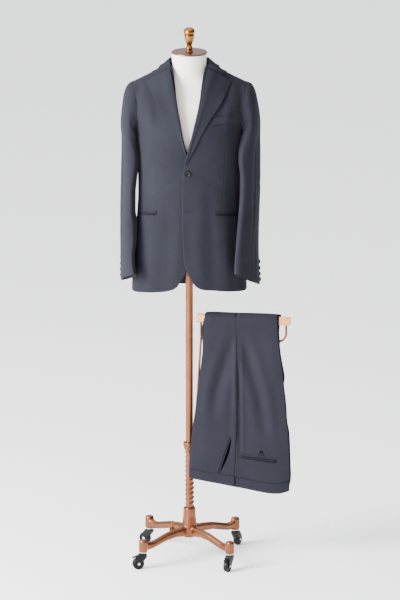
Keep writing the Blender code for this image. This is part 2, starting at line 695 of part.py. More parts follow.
def make_lapels():
    columns = (0.0, 0.2, 0.4, NOTCH_SHARE, 0.8, 1.0)
    for side, name in SIDES:
        wall(f"lapel_{name}", lapel(side), columns, shares(12), "jacket_cloth", LAPEL_WALL, side)


def neckline(share):
    """From the centre back round the neck to the shoulder, then down the roll line to the gorge."""
    if share < NECKLINE_SHARE:
        x = NECK_X * math.sin(0.5 * math.pi * share / NECKLINE_SHARE)
        z, y = back_top(x)
        return Vector((x, y, z))
    z = mix(NECK_Z, GORGE_Z + 0.0012, (share - NECKLINE_SHARE) / (1.0 - NECKLINE_SHARE))
    x = roll_x(1, z)
    return Vector((x, front_y(x, z), z))


def clear_of_body(point, on_back, clearance):
    """The point, moved out to lie a clearance off the front, the back or the shoulder line."""
    over = shoulder_z(point.x)
    if point.x > NECK_X and point.z > over - clearance:
        point.z = max(point.z, over + clearance)
        return point
    if on_back > 0.15:
        point.y = max(point.y, back_y(point.x, point.z) + clearance)
    elif on_back < -0.15:
        point.y = min(point.y, front_y(point.x, point.z) - clearance)
    else:
        point.z = max(point.z, shoulder_z(point.x) + clearance)
    return point


def collar_surface(s, t):
    """s goes round the neck from the wearer's right to the left, t from the stand to the fall's edge."""
    turn = 2.0 * s - 1.0
    side = 1.0 if turn >= 0 else -1.0
    share = abs(turn)
    height, lean, edge_x, edge_z, on_back = (table_value(COLLAR, share, k) for k in range(1, 6))
    stand = neckline(share) + Vector((0.0, 0.0, 0.0014))
    out = Vector((stand.x, stand.y, 0.0)).normalized()
    fold = stand + out * lean + Vector((0.0, 0.0, height))
    back, front = back_y(edge_x, edge_z) + 0.0050, front_y(edge_x, edge_z) - 0.0055
    edge = Vector((edge_x, mix(front, back, 0.5 + 0.5 * on_back), edge_z + 0.0060 * (1.0 - abs(on_back))))
    if t < COLLAR_FOLD:
        point = stand.lerp(fold, t / COLLAR_FOLD)
    else:
        fall = (t - COLLAR_FOLD) / (1.0 - COLLAR_FOLD)
        point = fold.lerp(edge, fall)
        swell = math.sin(math.pi * fall)
        point += Vector((0.0, 0.002 * (1.0 - share), 0.006 * (1.0 - 0.5 * share))) * swell
        point.z -= COLLAR_NOTCH_DIP * tent(fall, COLLAR_NOTCH_SHARE) * between(0.85, 1.0, share)
        clearance = COLLAR_CLEARANCE * clamp(fall * 4.0) * (1.5 - 0.5 * abs(on_back))
        point = clear_of_body(point, on_back, clearance)
    return Vector((point.x * side, point.y, point.z))


def make_collar():
    notch = mix(COLLAR_FOLD, 1.0, COLLAR_NOTCH_SHARE)
    rows = (0.0, 0.2, COLLAR_FOLD, 0.45, 0.6, notch, 1.0)
    wall("jacket_collar", collar_surface, shares(19), rows, "jacket_cloth", LAPEL_WALL)


# ---------------------------------------------------------------- jacket trim

def make_pockets():
    for side, name in SIDES:
        ends = LEFT_POCKET_X if side > 0 else RIGHT_POCKET_X
        for row, low in (("upper", POCKET_Z + SEAM / 2), ("lower", POCKET_Z - SEAM / 2 - JET_HEIGHT)):

            def place(s, t, side=side, ends=ends, low=low):
                x = mix(ends[0], ends[1], s)
                return on_front(side, x, low + JET_HEIGHT * t + POCKET_SLOPE * (x - ends[0]), 0.0026)

            wall(f"pocket_jet_{row}_{name}", place, shares(6), (0.0, 1.0), "jacket_cloth", 0.0012, side)
    low = WELT_Z - WELT_HEIGHT / 2

    def place(s, t):
        start = WELT_X[0] + 0.011 * (t - 0.5)
        return on_front(1, mix(start, WELT_X[1], s), low + WELT_HEIGHT * t + 0.004 * s, 0.0036)

    wall("breast_welt", place, shares(6), (0.0, 0.5, 1.0), "jacket_cloth", 0.0014, 1)


def turned(name, profile, sides, slot, axis=None, closed=False, angle=35.0):
    """A closed turned piece from (radius, height) rows; closed joins the last row to the first."""
    vertices, rings = [], []
    for radius, height in profile:
        if radius < 1e-6:
            rings.append([len(vertices)])
            vertices.append(Vector((0.0, 0.0, height)))
            continue
        rings.append(list(range(len(vertices), len(vertices) + sides)))
        for k in range(sides):
            turn = 2.0 * math.pi * (k + 0.5) / sides
            vertices.append(Vector((radius * math.cos(turn), radius * math.sin(turn), height)))
    faces = []
    pairs = list(zip(rings, rings[1:]))
    if closed:
        pairs.append((rings[-1], rings[0]))
    for low, high in pairs:
        for k in range(sides):
            a, b = low[k % len(low)], low[(k + 1) % len(low)]
            c, d = high[(k + 1) % len(high)], high[k % len(high)]
            faces.append(tuple(dict.fromkeys((a, b, c, d))))
    if axis is not None:
        vertices = [axis @ v for v in vertices]
    return add_object(name, vertices, faces, slot, angle)


def facing(place, normal):
    """A matrix that stands a piece's +Z along a normal at a place."""
    return Matrix.Translation(place) @ normal.to_track_quat("Z", "Y").to_matrix().to_4x4()


def button_profile(radius, thick):
    return (
        (0.0, 0.0), (radius * 0.92, 0.0), (radius, thick * 0.45), (radius * 0.95, thick),
        (radius * 0.78, thick), (radius * 0.70, thick * 0.72), (0.0, thick * 0.72),
    )


def surface_normal(surface, s, t, outward):
    step = 0.004
    along = surface(s + step, t) - surface(s - step, t)
    up = surface(s, t + step) - surface(s, t - step)
    return (along.cross(up) * outward).normalized()


def make_buttons():
    place = on_front(1, FRONT_BUTTON_X, FRONT_BUTTON_Z, 0.0)
    normal = (on_front(1, FRONT_BUTTON_X, FRONT_BUTTON_Z, 0.01) - place).normalized()
    profile = button_profile(FRONT_BUTTON_RADIUS, FRONT_BUTTON_THICKNESS)
    turned("front_button", profile, 20, "button_black", facing(place + normal * 0.0008, normal))
    profile = button_profile(CUFF_BUTTON_RADIUS, CUFF_BUTTON_THICKNESS)
    for side, name in SIDES:
        surface = sleeve_panel(side, SLEEVE_SEAM_BACK - 360.0, SLEEVE_SEAM_FRONT)
        for k in range(4):
            t = CUFF_BUTTON_TOP + k * CUFF_BUTTON_SPACING / SLEEVE_DROP
            normal = surface_normal(surface, CUFF_BUTTON_SHARE, t, side)
            place = facing(surface(CUFF_BUTTON_SHARE, t) + normal * 0.0008, normal)
            turned(f"cuff_button_{name}_{k + 1}", profile, 10, "button_black", place)


# ---------------------------------------------------------------- dress form and stand

def make_form():
    sides, vertices, faces = 26, [], []
    for z, half, front, back in FORM_SECTIONS:
        for k in range(sides):
            turn = 2.0 * math.pi * k / sides
            x, y = math.sin(turn), -math.cos(turn)
            power = 2.0 / mix(FORM_POWER, 2.0, between(1.60, 1.67, z))
            depth = front if y < 0 else back
            vertices.append(Vector((
                half * math.copysign(abs(x) ** power, x), depth * math.copysign(abs(y) ** power, y), z,
            )))
    for row in range(len(FORM_SECTIONS) - 1):
        for k in range(sides):
            a, b = row * sides + k, row * sides + (k + 1) % sides
            faces.append((a, b, b + sides, a + sides))
    faces.append(tuple(range(sides))[::-1])
    faces.append(tuple(range(len(vertices) - sides, len(vertices))))
    add_object("form_torso", vertices, faces, "form_cream", 50.0)
    turned("neck_cap", CAP_PROFILE, 32, "cap_bronze")
    turned("finial", FINIAL_PROFILE, 16, "gold_bronze")


def make_column():
    rows = ((0.0, POLE_BOTTOM), (POLE_RADIUS, POLE_BOTTOM), (POLE_RADIUS, POLE_TOP), (0.0, POLE_TOP))
    turned("pole", rows, 24, "bronze")
    low, high = COLLAR_Z
    bore, edge = POLE_RADIUS + SEAM, 0.0015
    rows = (
        (bore, low), (COLLAR_RADIUS - edge, low), (COLLAR_RADIUS, low + edge), (COLLAR_RADIUS, high - edge),
        (COLLAR_RADIUS - edge, high), (bore, high),
    )
    turned("column_collar", rows, 24, "bronze", closed=True)


def make_spring():
    steps, ring = SPRING_TURNS * 9, 4
    rise = SPRING_TOP - SPRING_BOTTOM - 2 * SPRING_WIRE
    vertices, faces = [], []
    for k in range(steps + 1):
        share = k / steps
        height = SPRING_BOTTOM + SPRING_WIRE + rise * share
        turn = 2.0 * math.pi * SPRING_TURNS * share
        out = Vector((math.cos(turn), math.sin(turn), 0.0))
        for j in range(ring):
            angle = 2.0 * math.pi * j / ring
            spot = out * (SPRING_RADIUS + SPRING_WIRE * math.cos(angle))
            spot.z = height + SPRING_WIRE * math.sin(angle)
            vertices.append(spot)
    for k in range(steps):
        for j in range(ring):
            a, b = k * ring + j, k * ring + (j + 1) % ring
            faces.append((a, b, b + ring, a + ring))
    faces.append(tuple(range(ring)))
    faces.append(tuple(range(steps * ring, steps * ring + ring)))
    add_object("column_spring", vertices, faces, "bronze", 80.0)


def set_origin(target, point):
    """Moves an object's origin to a point, with its shape left where it is."""
    target.data.transform(Matrix.Translation(-point))
    target.location = point


def apply_booleans(target, tools, operation):
    for tool in tools:
        cut = target.modifiers.new(operation.lower(), "BOOLEAN")
        cut.operation = operation
        cut.solver = "EXACT"
        cut.object = tool
    shape = target.evaluated_get(bpy.context.evaluated_depsgraph_get())
    mesh = bpy.data.meshes.new_from_object(shape)
    target.modifiers.clear()
    target.data = mesh
    for tool in tools:
        bpy.data.objects.remove(tool, do_unlink=True)


def make_leg(degrees):
    """One arched leg with its caster socket, bored for the caster's stem."""
    vertices, faces, rounding = [], [], 0.006
    for reach, top, bottom, width in LEG_ROWS:
        half = width / 2
        for y, z in (
            (-half, bottom + rounding), (-half + rounding, bottom), (half - rounding, bottom),
            (half, bottom + rounding), (half, top - rounding), (half - rounding, top),
            (-half + rounding, top), (-half, top - rounding),
        ):
            vertices.append(Vector((reach, y, z)))
    for row in range(len(LEG_ROWS) - 1):
        for k in range(8):
            a, b = row * 8 + k, row * 8 + (k + 1) % 8
            faces.append((a, b, b + 8, a + 8))
    faces.append(tuple(range(8)))
    faces.append(tuple(range(len(vertices) - 8, len(vertices))))
    turn = Matrix.Rotation(math.radians(degrees), 4, "Z")
    leg = add_object("leg_tool", [turn @ v for v in vertices], faces, "bronze", 40.0)
    place = turn @ Matrix.Translation((LEG_REACH, 0.0, 0.0))
    low, high = SOCKET_Z
    r = SOCKET_RADIUS
    rows = ((0.0, low), (r - 0.001, low), (r, low + 0.001), (r, high - 0.005), (r - 0.004, high), (0.0, high))
    socket = turned("socket_tool", rows, 16, "bronze", place)
    r, high = STEM_RADIUS + SEAM, STEM_TOP + SEAM
    rows = ((0.0, low - 0.01), (r, low - 0.01), (r, high), (0.0, high))
    bore = turned("bore_tool", rows, 12, "bronze", place)
    apply_booleans(leg, [socket], "UNION")
    apply_booleans(leg, [bore], "DIFFERENCE")
    return leg


def make_base():
    """The hub, its bore, four legs and the pedal's lug in one casting."""
    rows = [(0.0, HUB_PROFILE[0][1])] + list(HUB_PROFILE) + [(0.0, HUB_PROFILE[-1][1])]
    base = turned("base_casting", rows, 24, "bronze")
    for degrees in LEG_ANGLES.values():
        apply_booleans(base, [make_leg(degrees)], "UNION")
    upright = base_turn()
    low, high = (-0.0385, -LUG_HALF_WIDTH, 0.0815), (-0.0200, LUG_HALF_WIDTH, 0.0915)
    lug = box("lug_tool", low, high, "bronze", upright)
    apply_booleans(base, [lug], "UNION")
    rows = ((0.0, 0.05), (HUB_BORE_RADIUS, 0.05), (HUB_BORE_RADIUS, 0.20), (0.0, 0.20))
    bore = turned("bore_tool", rows, 24, "bronze")
    pin_hole = pedal_pin("pin_hole_tool", PIN_RADIUS + SEAM, 0.02)
    apply_booleans(base, [bore, pin_hole], "DIFFERENCE")


def base_turn():
    return Matrix.Rotation(math.radians(BASE_TURN), 4, "Z")


def pedal_pin(name, radius, half):
    along = base_turn() @ Matrix.Translation(PEDAL_PIVOT) @ Matrix.Rotation(math.radians(-90), 4, "X")
    return turned(name, ((0.0, -half), (radius, -half), (radius, half), (0.0, half)), 12, "bronze", along)


def make_pedal():
    """The foot lever that frees the column, forked over its lug."""
    half = PEDAL_HALF_WIDTH
    outline = [(-x, z) for x, z in PEDAL_OUTLINE]
    pedal = outline_solid("foot_pedal", outline, -half, half, "bronze", base_turn())
    gap = LUG_HALF_WIDTH + SEAM
    slot = box("slot_tool", (-0.0420, -gap, 0.0700), (-0.0200, gap, 0.1000), "bronze", base_turn())
    apply_booleans(pedal, [slot], "DIFFERENCE")
    apply_booleans(pedal, [pedal_pin("pin_tool", PIN_RADIUS, half - 0.001)], "UNION")
    set_origin(pedal, base_turn() @ PEDAL_PIVOT)


def box(name, low, high, slot, place):
    corners = [Vector(c) for c in itertools.product(*zip(low, high))]
    faces = ((0, 1, 3, 2), (4, 6, 7, 5), (0, 4, 5, 1), (2, 3, 7, 6), (0, 2, 6, 4), (1, 5, 7, 3))
    return add_object(name, [place @ v for v in corners], faces, slot, 30.0)


def outline_solid(name, outline, low_y, high_y, slot, place):
    """An extrusion along Y of a closed outline of (x, z) points."""
    count = len(outline)
    vertices = [place @ Vector((x, y, z)) for y in (low_y, high_y) for x, z in outline]
    faces = [tuple(range(count)), tuple(range(count, 2 * count))[::-1]]
    faces += [(k, (k + 1) % count, count + (k + 1) % count, count + k) for k in range(count)]
    return add_object(name, vertices, faces, slot, 40.0)


def make_caster(name):
    """A swivel fork and its wheel; the wheel trails behind the stem."""
    degrees = LEG_ANGLES[name]
    socket = Matrix.Rotation(math.radians(degrees), 4, "Z") @ Vector((LEG_REACH, 0.0, 0.0))
    place = Matrix.Translation(socket) @ Matrix.Rotation(math.radians(CASTER_ANGLES[name]), 4, "Z")
    half = WHEEL_WIDTH / 2 + CHEEK_GAP
    hood_top = 0.0525
    outline = [(-0.010, hood_top), (-0.011, 0.0440), (-0.004, 0.0340), (CASTER_TRAIL - 0.006, 0.0160)]
    outline += [
        (CASTER_TRAIL + 0.0065 * math.sin(a), WHEEL_RADIUS - 0.0065 * math.cos(a))
        for a in [math.radians(k) for k in (-20, 20, 60, 100)]
    ]
    outline += [(CASTER_TRAIL + 0.008, 0.0330), (0.0200, 0.0430), (0.0120, hood_top)]
    cheek = half + CHEEK_WALL
    fork = outline_solid(f"caster_fork_{name}", outline, -cheek, cheek, "caster_black", place)
    room = WHEEL_RADIUS + WHEEL_ROOM
    circle = [
        (CASTER_TRAIL + room * math.cos(math.radians(k)), WHEEL_RADIUS + room * math.sin(math.radians(k)))
        for k in range(0, 360, 20)
    ]
    wheel_room = outline_solid("room_tool", circle, -half, half, "caster_black", place)
    axle_room = wheel_axis_cylinder("axle_tool", AXLE_RADIUS + SEAM, cheek + 0.01, place, "steel", 12)
    stem = turned("stem_tool", (
        (0.0, hood_top - 0.002), (0.0105, hood_top - 0.002), (0.0105, 0.0550), (0.0085, 0.0577),
        (STEM_RADIUS, 0.0577), (STEM_RADIUS, STEM_TOP), (0.0, STEM_TOP),
    ), 12, "caster_black", place)
    apply_booleans(fork, [stem], "UNION")
    apply_booleans(fork, [wheel_room, axle_room], "DIFFERENCE")
    w, axle_end, edge = WHEEL_WIDTH / 2, cheek + 0.001, 0.0025
    flat = WHEEL_RADIUS / math.cos(math.pi / WHEEL_SIDES)
    rows = (
        (0.0, -axle_end), (AXLE_RADIUS, -axle_end), (AXLE_RADIUS, -w), (flat - edge, -w), (flat, -w + edge),
        (flat, w - edge), (flat - edge, w), (AXLE_RADIUS, w), (AXLE_RADIUS, axle_end), (0.0, axle_end),
    )
    wheel = turned(f"caster_wheel_{name}", rows, WHEEL_SIDES, "caster_black", wheel_axis(place))
    set_origin(fork, socket)
    set_origin(wheel, place @ Vector((CASTER_TRAIL, 0.0, WHEEL_RADIUS)))
    if name in BRAKED:
        wide = BRAKE_HALF_WIDTH
        lever = outline_solid(f"brake_lever_{name}", BRAKE_OUTLINE, -wide, wide, "caster_black", place)
        set_origin(lever, place @ BRAKE_PIVOT)


def wheel_axis(place):
    """A matrix that stands a turned piece's axis along a wheel's axle."""
    middle = Matrix.Translation((CASTER_TRAIL, 0.0, WHEEL_RADIUS))
    return place @ middle @ Matrix.Rotation(math.radians(-90), 4, "X")


def wheel_axis_cylinder(name, radius, half, place, slot, sides):
    rows = ((0.0, -half), (radius, -half), (radius, half), (0.0, half))
    return turned(name, rows, sides, slot, wheel_axis(place))


# ---------------------------------------------------------------- rack and trousers

def rack_place():
    """The bar's own frame: X along it, Y away from the front, Z up, origin at its middle."""
    return Matrix.Translation(BAR_CENTRE) @ Matrix.Rotation(math.radians(RACK_ANGLE), 4, "Z")


def make_bar():
    place = rack_place()
    top, edge = BAR_HALF_HEIGHT - BAR_HALF_DEPTH, 0.004
    outline = [
        (BAR_HALF_DEPTH * math.cos(math.radians(a)), top + BAR_HALF_DEPTH * math.sin(math.radians(a)))
        for a in range(0, 181, 20)
    ]
    outline += [(-BAR_HALF_DEPTH, edge - BAR_HALF_HEIGHT), (edge - BAR_HALF_DEPTH, -BAR_HALF_HEIGHT)]
    outline += [(BAR_HALF_DEPTH - edge, -BAR_HALF_HEIGHT), (BAR_HALF_DEPTH, edge - BAR_HALF_HEIGHT)]
    turn = place @ Matrix.Rotation(math.radians(90), 4, "Z")
    outline_solid("rack_bar", outline, -BAR_HALF_LENGTH, BAR_HALF_LENGTH, "pale_wood", turn)


def rod(name, points, radius, slot, sides=10):
    """A closed round rod through points, mitred at each bend."""
    vertices, faces = [], []
    for k, point in enumerate(points):
        before = (point - points[k - 1]).normalized() if k else (points[1] - point).normalized()
        after = (points[k + 1] - point).normalized() if k < len(points) - 1 else before
        along = (before + after).normalized()
        across = along.cross(Vector((0.0, 1.0, 0.0))).normalized()
        up = across.cross(along).normalized()
        for j in range(sides):
            turn = 2.0 * math.pi * j / sides
            vertices.append(point + (across * math.cos(turn) + up * math.sin(turn)) * radius)
    for k in range(len(points) - 1):
        for j in range(sides):
            a, b = k * sides + j, k * sides + (j + 1) % sides
            faces.append((a, b, b + sides, a + sides))
    faces.append(tuple(range(sides)))
    faces.append(tuple(range(len(vertices) - sides, len(vertices))))
    return add_object(name, vertices, faces, slot, 50.0)


def make_rods():
    """The strut runs from the column's clamp to the bar's near end, the rail on under the bar."""
    place = rack_place()
    under = BAR_HALF_HEIGHT + SEAM
    low = RAIL_Z - BAR_CENTRE.z
    end = BAR_HALF_LENGTH - 0.014
    corner = 0.030
    points = [Vector((-end + 0.004, 0.0, low))]
    points += [Vector((end - corner, 0.0, low))]
    for turn in (15, 30, 45, 60, 75, 90):
        out, up = math.sin(math.radians(turn)), math.cos(math.radians(turn))
        points += [Vector((end - corner + corner * out, 0.0, low + corner - corner * up))]
    points += [Vector((end, 0.0, -under))]
    rod("rack_rail", [place @ p for p in points], ROD_RADIUS, "bronze")
    foot = Vector((POLE_RADIUS + ROD_RADIUS + 0.0018, -0.0050, STRUT_FOOT_Z + 0.0220))
    head = place @ Vector((-end, 0.0, -under))
    bend = place @ Vector((-end, 0.0, low))
    start = Vector((foot.x + 0.0006, foot.y, CLAMP_Z[1] + SEAM))
    rod("rack_strut", [start, foot, bend, head], ROD_RADIUS, "bronze")
    low_z, high_z = CLAMP_Z
    bore = POLE_RADIUS + SEAM
    rows = ((bore, low_z), (CLAMP_RADIUS, low_z), (CLAMP_RADIUS, high_z), (bore, high_z))
    turned("rack_clamp", rows, 24, "bronze", closed=True)


def stack_point(across, along, lift):
    """A point of the folded stack, lifted off its inner face.

    across runs from its left edge to its right, along from the waist up over the bar to the hem.
    """
    if along <= FRONT_SHARE:
        z = mix(table_value(WAIST_Z, across, 1), FOLD_CENTRE_Z, along / FRONT_SHARE)
        left, right = table_value(FRONT_EDGES, z, 1), table_value(FRONT_EDGES, z, 2)
        spot = Vector((mix(left, right, across), -FOLD_RADIUS - lift, z))
    elif along < FOLD_SHARE:
        turn = math.pi * (along - FRONT_SHARE) / (FOLD_SHARE - FRONT_SHARE)
        left, right = FRONT_EDGES[-1][1:]
        reach = FOLD_RADIUS + lift
        x = mix(left, right, across)
        spot = Vector((x, -reach * math.cos(turn), FOLD_CENTRE_Z + reach * math.sin(turn)))
    else:
        z = mix(FOLD_CENTRE_Z, HEM_Z, (along - FOLD_SHARE) / (1.0 - FOLD_SHARE))
        left, right = table_value(BACK_EDGES, z, 1), table_value(BACK_EDGES, z, 2)
        spot = Vector((mix(left, right, across), FOLD_RADIUS + lift, z))
    spot.z -= BAR_CENTRE.z
    return rack_place() @ spot


def core_thickness(across, along):
    """The hidden layers' thickness: full in the middle, thinner at the folded edges."""
    seam = table_value(SEAM_SHARE, along, 1)
    edge = min(across, 1.0 - across)
    rounding = 1.0 - (1.0 - between(0.0, 0.10, edge)) * 0.35
    dip = 0.0034 * math.exp(-((across - seam - 0.03) / 0.17) ** 2)
    hang = 1.0 - between(0.45, FRONT_SHARE, along)
    return table_value(CORE_THICKNESS, along, 1) * rounding + hang * (stack_swell(across, along) - dip)


def stack_swell(across, along):
    left = 0.0024 * math.exp(-((across - 0.20) / 0.16) ** 2)
    right = 0.0030 * math.exp(-((across - 0.78) / 0.16) ** 2)
    return (left + right) * between(0.5, 0.1, along)


def stack_thickness(across, along):
    """Up to the outer panels: a soft ridge runs down by the side seam, with a trough beside it."""
    seam = table_value(SEAM_SHARE, along, 1)
    dip = 0.0034 * math.exp(-((across - seam - 0.03) / 0.17) ** 2)
    ridge = 0.0016 * math.exp(-((across - seam + 0.015) / 0.06) ** 2)
    trough = 0.0024 * math.exp(-((across - seam - 0.060) / 0.07) ** 2)
    hang = 1.0 - between(0.45, FRONT_SHARE, along)
    return core_thickness(across, along) + hang * (dip + ridge - trough)


def leg_panel(first, last):
    """An outer panel of the near leg: first and last tell its ends across the stack."""

    def surface(s, t):
        along = mix(waist_share(), 1.0, t)
        seam = table_value(SEAM_SHARE, along, 1)
        across = mix(first(seam), last(seam), s)
        return stack_point(across, along, stack_thickness(across, along) + CORE_GAP + TROUSER_WALL)

    return surface


def waist_share():
    return FRONT_SHARE * WAISTBAND_HEIGHT / (FOLD_CENTRE_Z - WAIST_Z[0][1])


def trouser_rows():
    """Rows along the front, round the fold and down the back, as shares of the whole length."""
    start = waist_share()
    front = [mix(start, FRONT_SHARE, k / 11) for k in range(12)]
    fold = [mix(FRONT_SHARE, FOLD_SHARE, k / 8) for k in range(1, 8)]
    back = [mix(FOLD_SHARE, 1.0, k / 7) for k in range(8)]
    return front + fold + back


def panel_rows():
    start = waist_share()
    return [(row - start) / (1.0 - start) for row in trouser_rows()]


def make_leg_panels():
    half = 0.0007
    front = leg_panel(lambda seam: 0.0, lambda seam: seam - half)
    back = leg_panel(lambda seam: seam + half, lambda seam: 1.0)
    wall("trouser_front_panel", front, shares(6), panel_rows(), "trouser_cloth", TROUSER_WALL, 1)
    wall("trouser_back_panel", back, shares(7), panel_rows(), "trouser_cloth", TROUSER_WALL, 1)


def make_core():
    """The hidden layers as one rounded solid, with the layers' folded edges as lobes down each side."""
    columns = CORE_COLUMNS
    rows = [0.004] + trouser_rows()
    rows[-1] = 0.996
    lobes = ((0.90, 0.0), (0.58, 1.0), (0.42, 0.0), (0.06, 0.5))
    vertices, faces = [], []
    for along in rows:
        thick = [core_thickness(a, along) for a in columns]
        for a, depth in zip(columns, thick):
            vertices.append(stack_point(a, along, depth))
        for height, tuck in lobes:
            vertices.append(stack_point(0.996 - 0.012 * tuck, along, thick[-1] * height))
        for a in columns[-2:0:-2]:
            vertices.append(stack_point(a, along, 0.0))
        for height, tuck in reversed(lobes):
            vertices.append(stack_point(0.004 + 0.012 * tuck, along, thick[0] * height))
    ring = len(vertices) // len(rows)
    for row in range(len(rows) - 1):
        for k in range(ring):
            a, b = row * ring + k, row * ring + (k + 1) % ring
            faces.append((a, b, b + ring, a + ring))
    faces.append(tuple(range(ring))[::-1])
    faces.append(tuple(range(len(vertices) - ring, len(vertices))))
    add_object("trouser_hidden_layers", vertices, faces, "trouser_cloth", 60.0)


def on_trousers(across, along, lift):
    return stack_point(across, along, stack_thickness(across, along) + CORE_GAP + TROUSER_WALL + lift)


def make_waistband():
    top = waist_share() - 0.0005

    def band(s, t):
        return on_trousers(s, mix(0.0, top, t), WAISTBAND_LIFT)

    columns = (0.0,) + CORE_COLUMNS[1:-1] + (1.0,)
    thick = WAISTBAND_LIFT + TROUSER_WALL - SEAM
    wall("trouser_waistband", band, columns, (0.0, 0.5, 1.0), "trouser_cloth", thick, 1)

    def loop(s, t):
        lift = WAISTBAND_LIFT + 0.0022 + 0.0008 * math.sin(math.pi * t)
        return on_trousers(LOOP_ACROSS + LOOP_WIDTH * (s - 0.5), mix(0.004, top + 0.006, t), lift)

    wall("belt_loop", loop, (0.0, 1.0), shares(4), "trouser_cloth", 0.0014, 1)


def make_trouser_pockets():
    for row, low in (("upper", POCKET_ALONG + 0.0003), ("lower", POCKET_ALONG - 0.0003 - POCKET_WELT)):
        def welt(s, t, low=low):
            return on_trousers(mix(POCKET_ACROSS[0], POCKET_ACROSS[1], s), low + POCKET_WELT * t, 0.0026)

        wall(f"back_pocket_welt_{row}", welt, shares(6), (0.0, 1.0), "trouser_cloth", 0.0012, 1)

    def edge(s, t):
        start, end = SLASH_START, SLASH_END
        across = mix(start[0], end[0], t) + SLASH_WIDTH * (s - 0.5)
        return on_trousers(across, mix(start[1], end[1], t), 0.0022)

    wall("slash_pocket_edge", edge, (0.0, 1.0), shares(9), "trouser_cloth", 0.0012, -1)
    place = on_trousers(BUTTON_PLACE[0], BUTTON_PLACE[1], 0.0)
    normal = (on_trousers(BUTTON_PLACE[0], BUTTON_PLACE[1], 0.01) - place).normalized()
    profile = button_profile(CUFF_BUTTON_RADIUS, CUFF_BUTTON_THICKNESS)
    turned("back_pocket_button", profile, 12, "button_black", facing(place + normal * 0.0012, normal))


def place_in_frame():
    """Hangs what rises with the column from one empty on the pole's axis, and all from the frame's."""
    frame = bpy.data.objects.new("frame", None)
    column = bpy.data.objects.new("column", None)
    pieces = list(bpy.data.objects)
    for empty in (frame, column):
        bpy.context.collection.objects.link(empty)
    for piece in pieces:
        if piece in (frame, column):
            continue
        stays = piece.name.startswith(STANDS_STILL)
        piece.parent = frame if stays else column
    column.parent = frame
    frame.location = FRAME_SHIFT


def main():
    remove_all()
    make_body()
    make_sleeves()
    make_lapels()
    make_collar()
    make_pockets()
    make_buttons()
    make_form()
    make_column()
    make_spring()
    make_base()
    make_pedal()
    for name in LEG_ANGLES:
        make_caster(name)
    make_bar()
    make_rods()
    make_leg_panels()
    make_core()
    make_waistband()
    make_trouser_pockets()
    place_in_frame()


if __name__ == "__main__":
    main()
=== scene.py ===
"""Two-piece suit on a dress form stand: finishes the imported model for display.

Laid out as an add-on with one operator for each group of pieces, and run as a script.
Metres, +Z up. The jacket faces -Y and the wearer's left is +X.
"""

import json
import math

import bpy
import numpy as np
from mathutils import Matrix, Vector


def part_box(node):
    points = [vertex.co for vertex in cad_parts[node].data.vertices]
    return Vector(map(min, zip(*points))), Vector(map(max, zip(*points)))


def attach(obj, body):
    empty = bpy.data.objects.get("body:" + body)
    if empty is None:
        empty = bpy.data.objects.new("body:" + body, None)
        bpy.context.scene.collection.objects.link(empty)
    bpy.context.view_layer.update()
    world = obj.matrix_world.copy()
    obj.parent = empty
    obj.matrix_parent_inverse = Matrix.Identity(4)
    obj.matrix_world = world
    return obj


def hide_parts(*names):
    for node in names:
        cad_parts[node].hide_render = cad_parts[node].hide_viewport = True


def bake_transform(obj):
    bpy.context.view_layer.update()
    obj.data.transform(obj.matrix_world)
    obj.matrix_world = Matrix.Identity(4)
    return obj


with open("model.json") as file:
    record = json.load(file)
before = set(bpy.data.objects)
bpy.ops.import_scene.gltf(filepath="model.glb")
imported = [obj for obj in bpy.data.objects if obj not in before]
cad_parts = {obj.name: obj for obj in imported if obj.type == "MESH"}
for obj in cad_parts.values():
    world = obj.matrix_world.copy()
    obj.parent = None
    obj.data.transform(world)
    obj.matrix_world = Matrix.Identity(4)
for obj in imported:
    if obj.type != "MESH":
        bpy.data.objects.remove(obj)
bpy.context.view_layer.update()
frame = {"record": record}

bl_info = {
    "name": "Suit on a dress form stand",
    "version": (1, 0, 0),
    "blender": (4, 5, 0),
    "location": "View3D > Sidebar > Suit",
    "description": "Finishes the cloth, the form and the stand of a two-piece suit",
    "category": "Object",
}

RECORD = frame["record"]
JOINTS = {joint["name"]: joint for joint in RECORD["behaviour"]["joints"]}
CORNERS = ("FL", "FR", "BR", "BL")
SIDES = ("left", "right")

# The pole's axis, the bar's middle with its turn about the vertical, and the rail under it
POLE = (Vector(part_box("pole")[0]) + Vector(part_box("pole")[1])) / 2
BAR = (Vector(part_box("rack_bar")[0]) + Vector(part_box("rack_bar")[1])) / 2
BAR_TURN = math.radians(-9.0)
BAR_HALF_LENGTH = 0.1560
BAR_HALF_HEIGHT = 0.0140
RAIL_HEIGHT = 0.7560
# The rods of the rack, and how far their ends stop short of the pieces they stand on
ROD_RADIUS = 0.0039
ROD_GAP = 0.0003


def colour(code):
    """An sRGB hex colour as linear values."""
    parts = [int(code[k:k + 2], 16) / 255.0 for k in (1, 3, 5)]
    return tuple(p / 12.92 if p <= 0.04045 else ((p + 0.055) / 1.055) ** 2.4 for p in parts)


# ---------------------------------------------------------------- settings

def colour_setting(name, description, code):
    return bpy.props.FloatVectorProperty(
        name=name, description=description, subtype="COLOR", size=3, min=0.0, max=1.0, default=colour(code),
    )


class SuitClothSettings(bpy.types.PropertyGroup):
    jacket_colour: colour_setting("Jacket", "Colour of the jacket's wool", "#1F2027")
    trouser_colour: colour_setting("Trousers", "Colour of the trousers' wool", "#1F1F27")
    button_colour: colour_setting("Buttons", "Colour of the buttons", "#08080C")
    fold_depth: bpy.props.FloatProperty(
        name="Fold depth", description="How deep the soft folds go, 1 as worn", default=1.0, min=0.0, max=1.5,
    )


